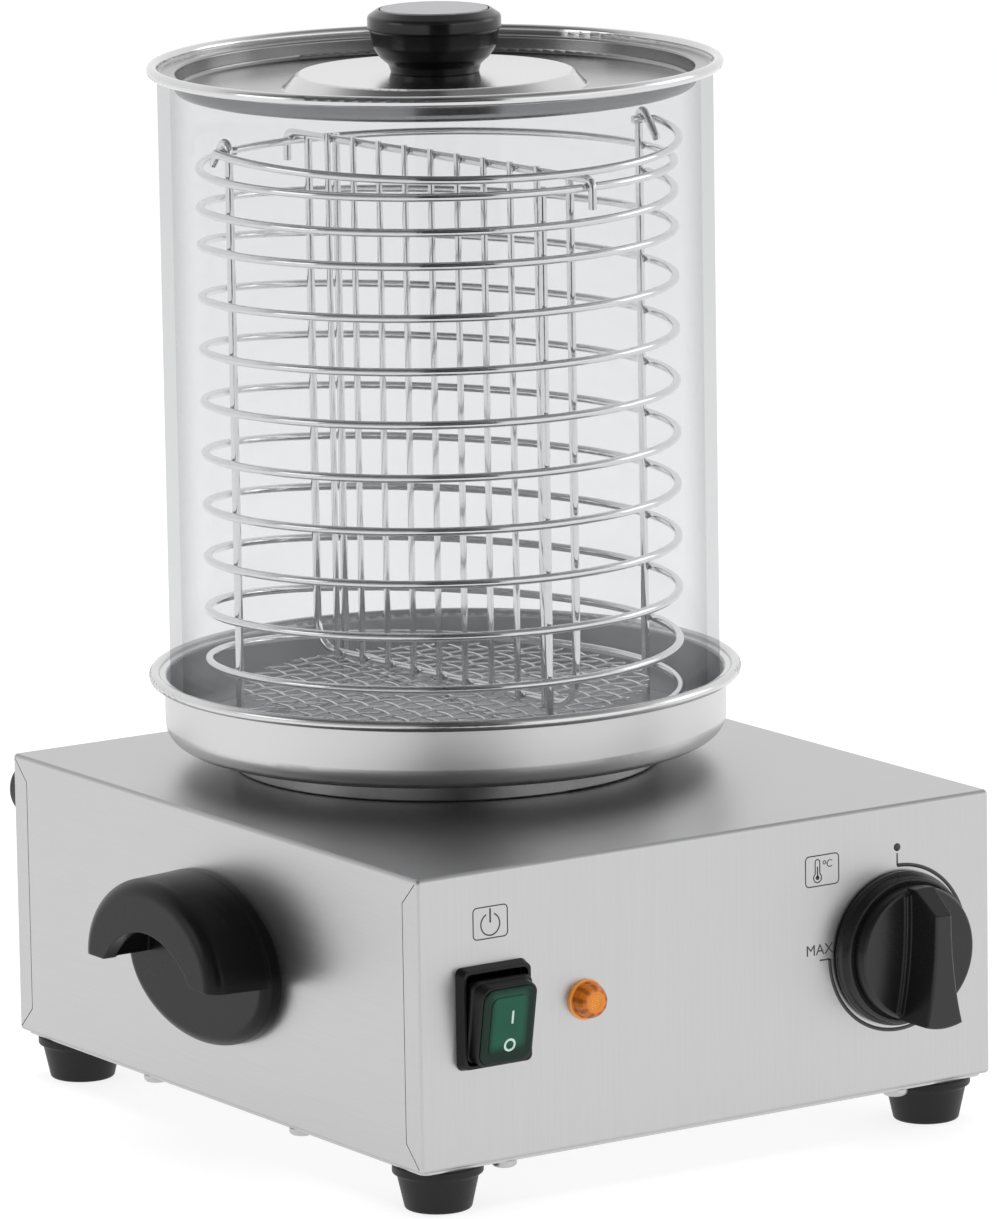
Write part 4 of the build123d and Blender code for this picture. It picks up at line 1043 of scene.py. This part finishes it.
def soft_surround(stage):
    """Light tent: bright walls at the sides and rear, a greyer wall on the left and a brighter one on
    the right in front, a dark opening between them where the camera stands, a dark room above
    them and a darker roof. turn is the angle to the right of the camera."""
    world = bpy.data.worlds.new("soft_surround")
    bpy.context.scene.world = world
    world.use_nodes = True
    maker = Maker(world.node_tree)
    x, y, z = maker.split(maker.node("ShaderNodeTexCoord", out=0))
    sine, cosine = math.sin(stage.azimuth), math.cos(stage.azimuth)
    toward = x * sine + y * -cosine
    turn = (x * cosine + y * sine).math("ARCTAN2", toward)
    opening_turn = 0.166
    opening = 1 - (turn - opening_turn).math("ABSOLUTE").smooth(0.26, 0.40)
    left = turn.smooth(-1.9, -1.2) * (1 - turn.smooth(-0.1, 0.2))
    right = turn.smooth(0.2, 0.5) * (1 - turn.smooth(1.3, 2.0))
    room = z.smooth(0.28, 0.50) * toward.smooth(-0.45, 0.10)
    roof = z.smooth(0.55, 0.90)
    walls = 1 - left * 0.42 + right * 0.35
    tone = walls * (1 - opening * (0.94 - z.smooth(0.20, 0.40) * 0.25))
    tone = tone * (1 - room * 0.60) * (1 - roof * 0.55)
    light = maker.node("ShaderNodeBackground", None, (1.0, 1.0, 1.0), tone * stage.sky)
    maker.node("ShaderNodeOutputWorld", None, light)


def soft_lights():
    """Large soft boxes: one overhead that the steel doesn't mirror, and one to each side."""
    boxes = (("top_box", (0.0, 0.0, 2.4), (0, 0, 0), 2.4, 42.0, False),
             ("left_box", (-1.9, 0.6, 0.8), (0, -75, 0), 0.9, 3.0, True),
             ("right_box", (1.8, -0.4, 0.8), (0, 72, -20), 0.9, 3.0, True))
    for name, place, turn, size, power, mirrored in boxes:
        light = bpy.data.lights.new(name, "AREA")
        light.size = size
        light.energy = power
        lamp = bpy.data.objects.new(name, light)
        bpy.context.collection.objects.link(lamp)
        lamp.location = place
        lamp.rotation_euler = [math.radians(v) for v in turn]
        lamp.visible_glossy = mirrored


def camera(stage):
    """Long-lens camera in front, left of the object and a little above it."""
    data = bpy.data.cameras.new("camera")
    data.lens = stage.lens
    data.sensor_width = 36.0
    data.clip_end = 100.0
    eye = bpy.data.objects.new("camera", data)
    bpy.context.collection.objects.link(eye)
    turn, rise = stage.azimuth, stage.elevation
    back = Vector((math.sin(turn) * math.cos(rise), -math.cos(turn) * math.cos(rise), math.sin(rise)))
    level = (-back).to_track_quat("-Z", "Y")
    eye.rotation_mode = "QUATERNION"
    eye.rotation_quaternion = level @ Quaternion((0, 0, 1), stage.roll)
    eye.location = stage.place
    bpy.context.scene.camera = eye


class STEAMER_PT_panel(bpy.types.Panel):
    """Lists the steps in the 3D view's sidebar."""

    bl_idname = "STEAMER_PT_panel"
    bl_label = "Hot dog steamer"
    bl_space_type = "VIEW_3D"
    bl_region_type = "UI"
    bl_category = "Steamer"

    def draw(self, context):
        for step in STEPS:
            self.layout.operator(step.bl_idname)


STEPS = (STEAMER_OT_housing, STEAMER_OT_fittings, STEAMER_OT_controls, STEAMER_OT_heater,
         STEAMER_OT_pan_and_glass, STEAMER_OT_basket, STEAMER_OT_lid, STEAMER_OT_stage)
GROUPS = {"steamer_finishes": SteamerFinishes, "steamer_sizes": SteamerSizes,
          "steamer_stage": SteamerStage}


def register():
    """Registers the settings, the steps and the panel."""
    for name, group in GROUPS.items():
        bpy.utils.register_class(group)
        setattr(bpy.types.Scene, name, bpy.props.PointerProperty(type=group))
    for step in STEPS:
        bpy.utils.register_class(step)
    bpy.utils.register_class(STEAMER_PT_panel)


def unregister():
    """Takes all of that away again."""
    bpy.utils.unregister_class(STEAMER_PT_panel)
    for step in reversed(STEPS):
        bpy.utils.unregister_class(step)
    for name, group in GROUPS.items():
        delattr(bpy.types.Scene, name)
        bpy.utils.unregister_class(group)


def main():
    """Runs every step."""
    register()
    bpy.ops.steamer.housing()
    bpy.ops.steamer.fittings()
    bpy.ops.steamer.controls()
    bpy.ops.steamer.heater()
    bpy.ops.steamer.pan_and_glass()
    bpy.ops.steamer.basket()
    bpy.ops.steamer.lid()
    bpy.ops.steamer.stage()


if __name__ == "__main__":
    main()
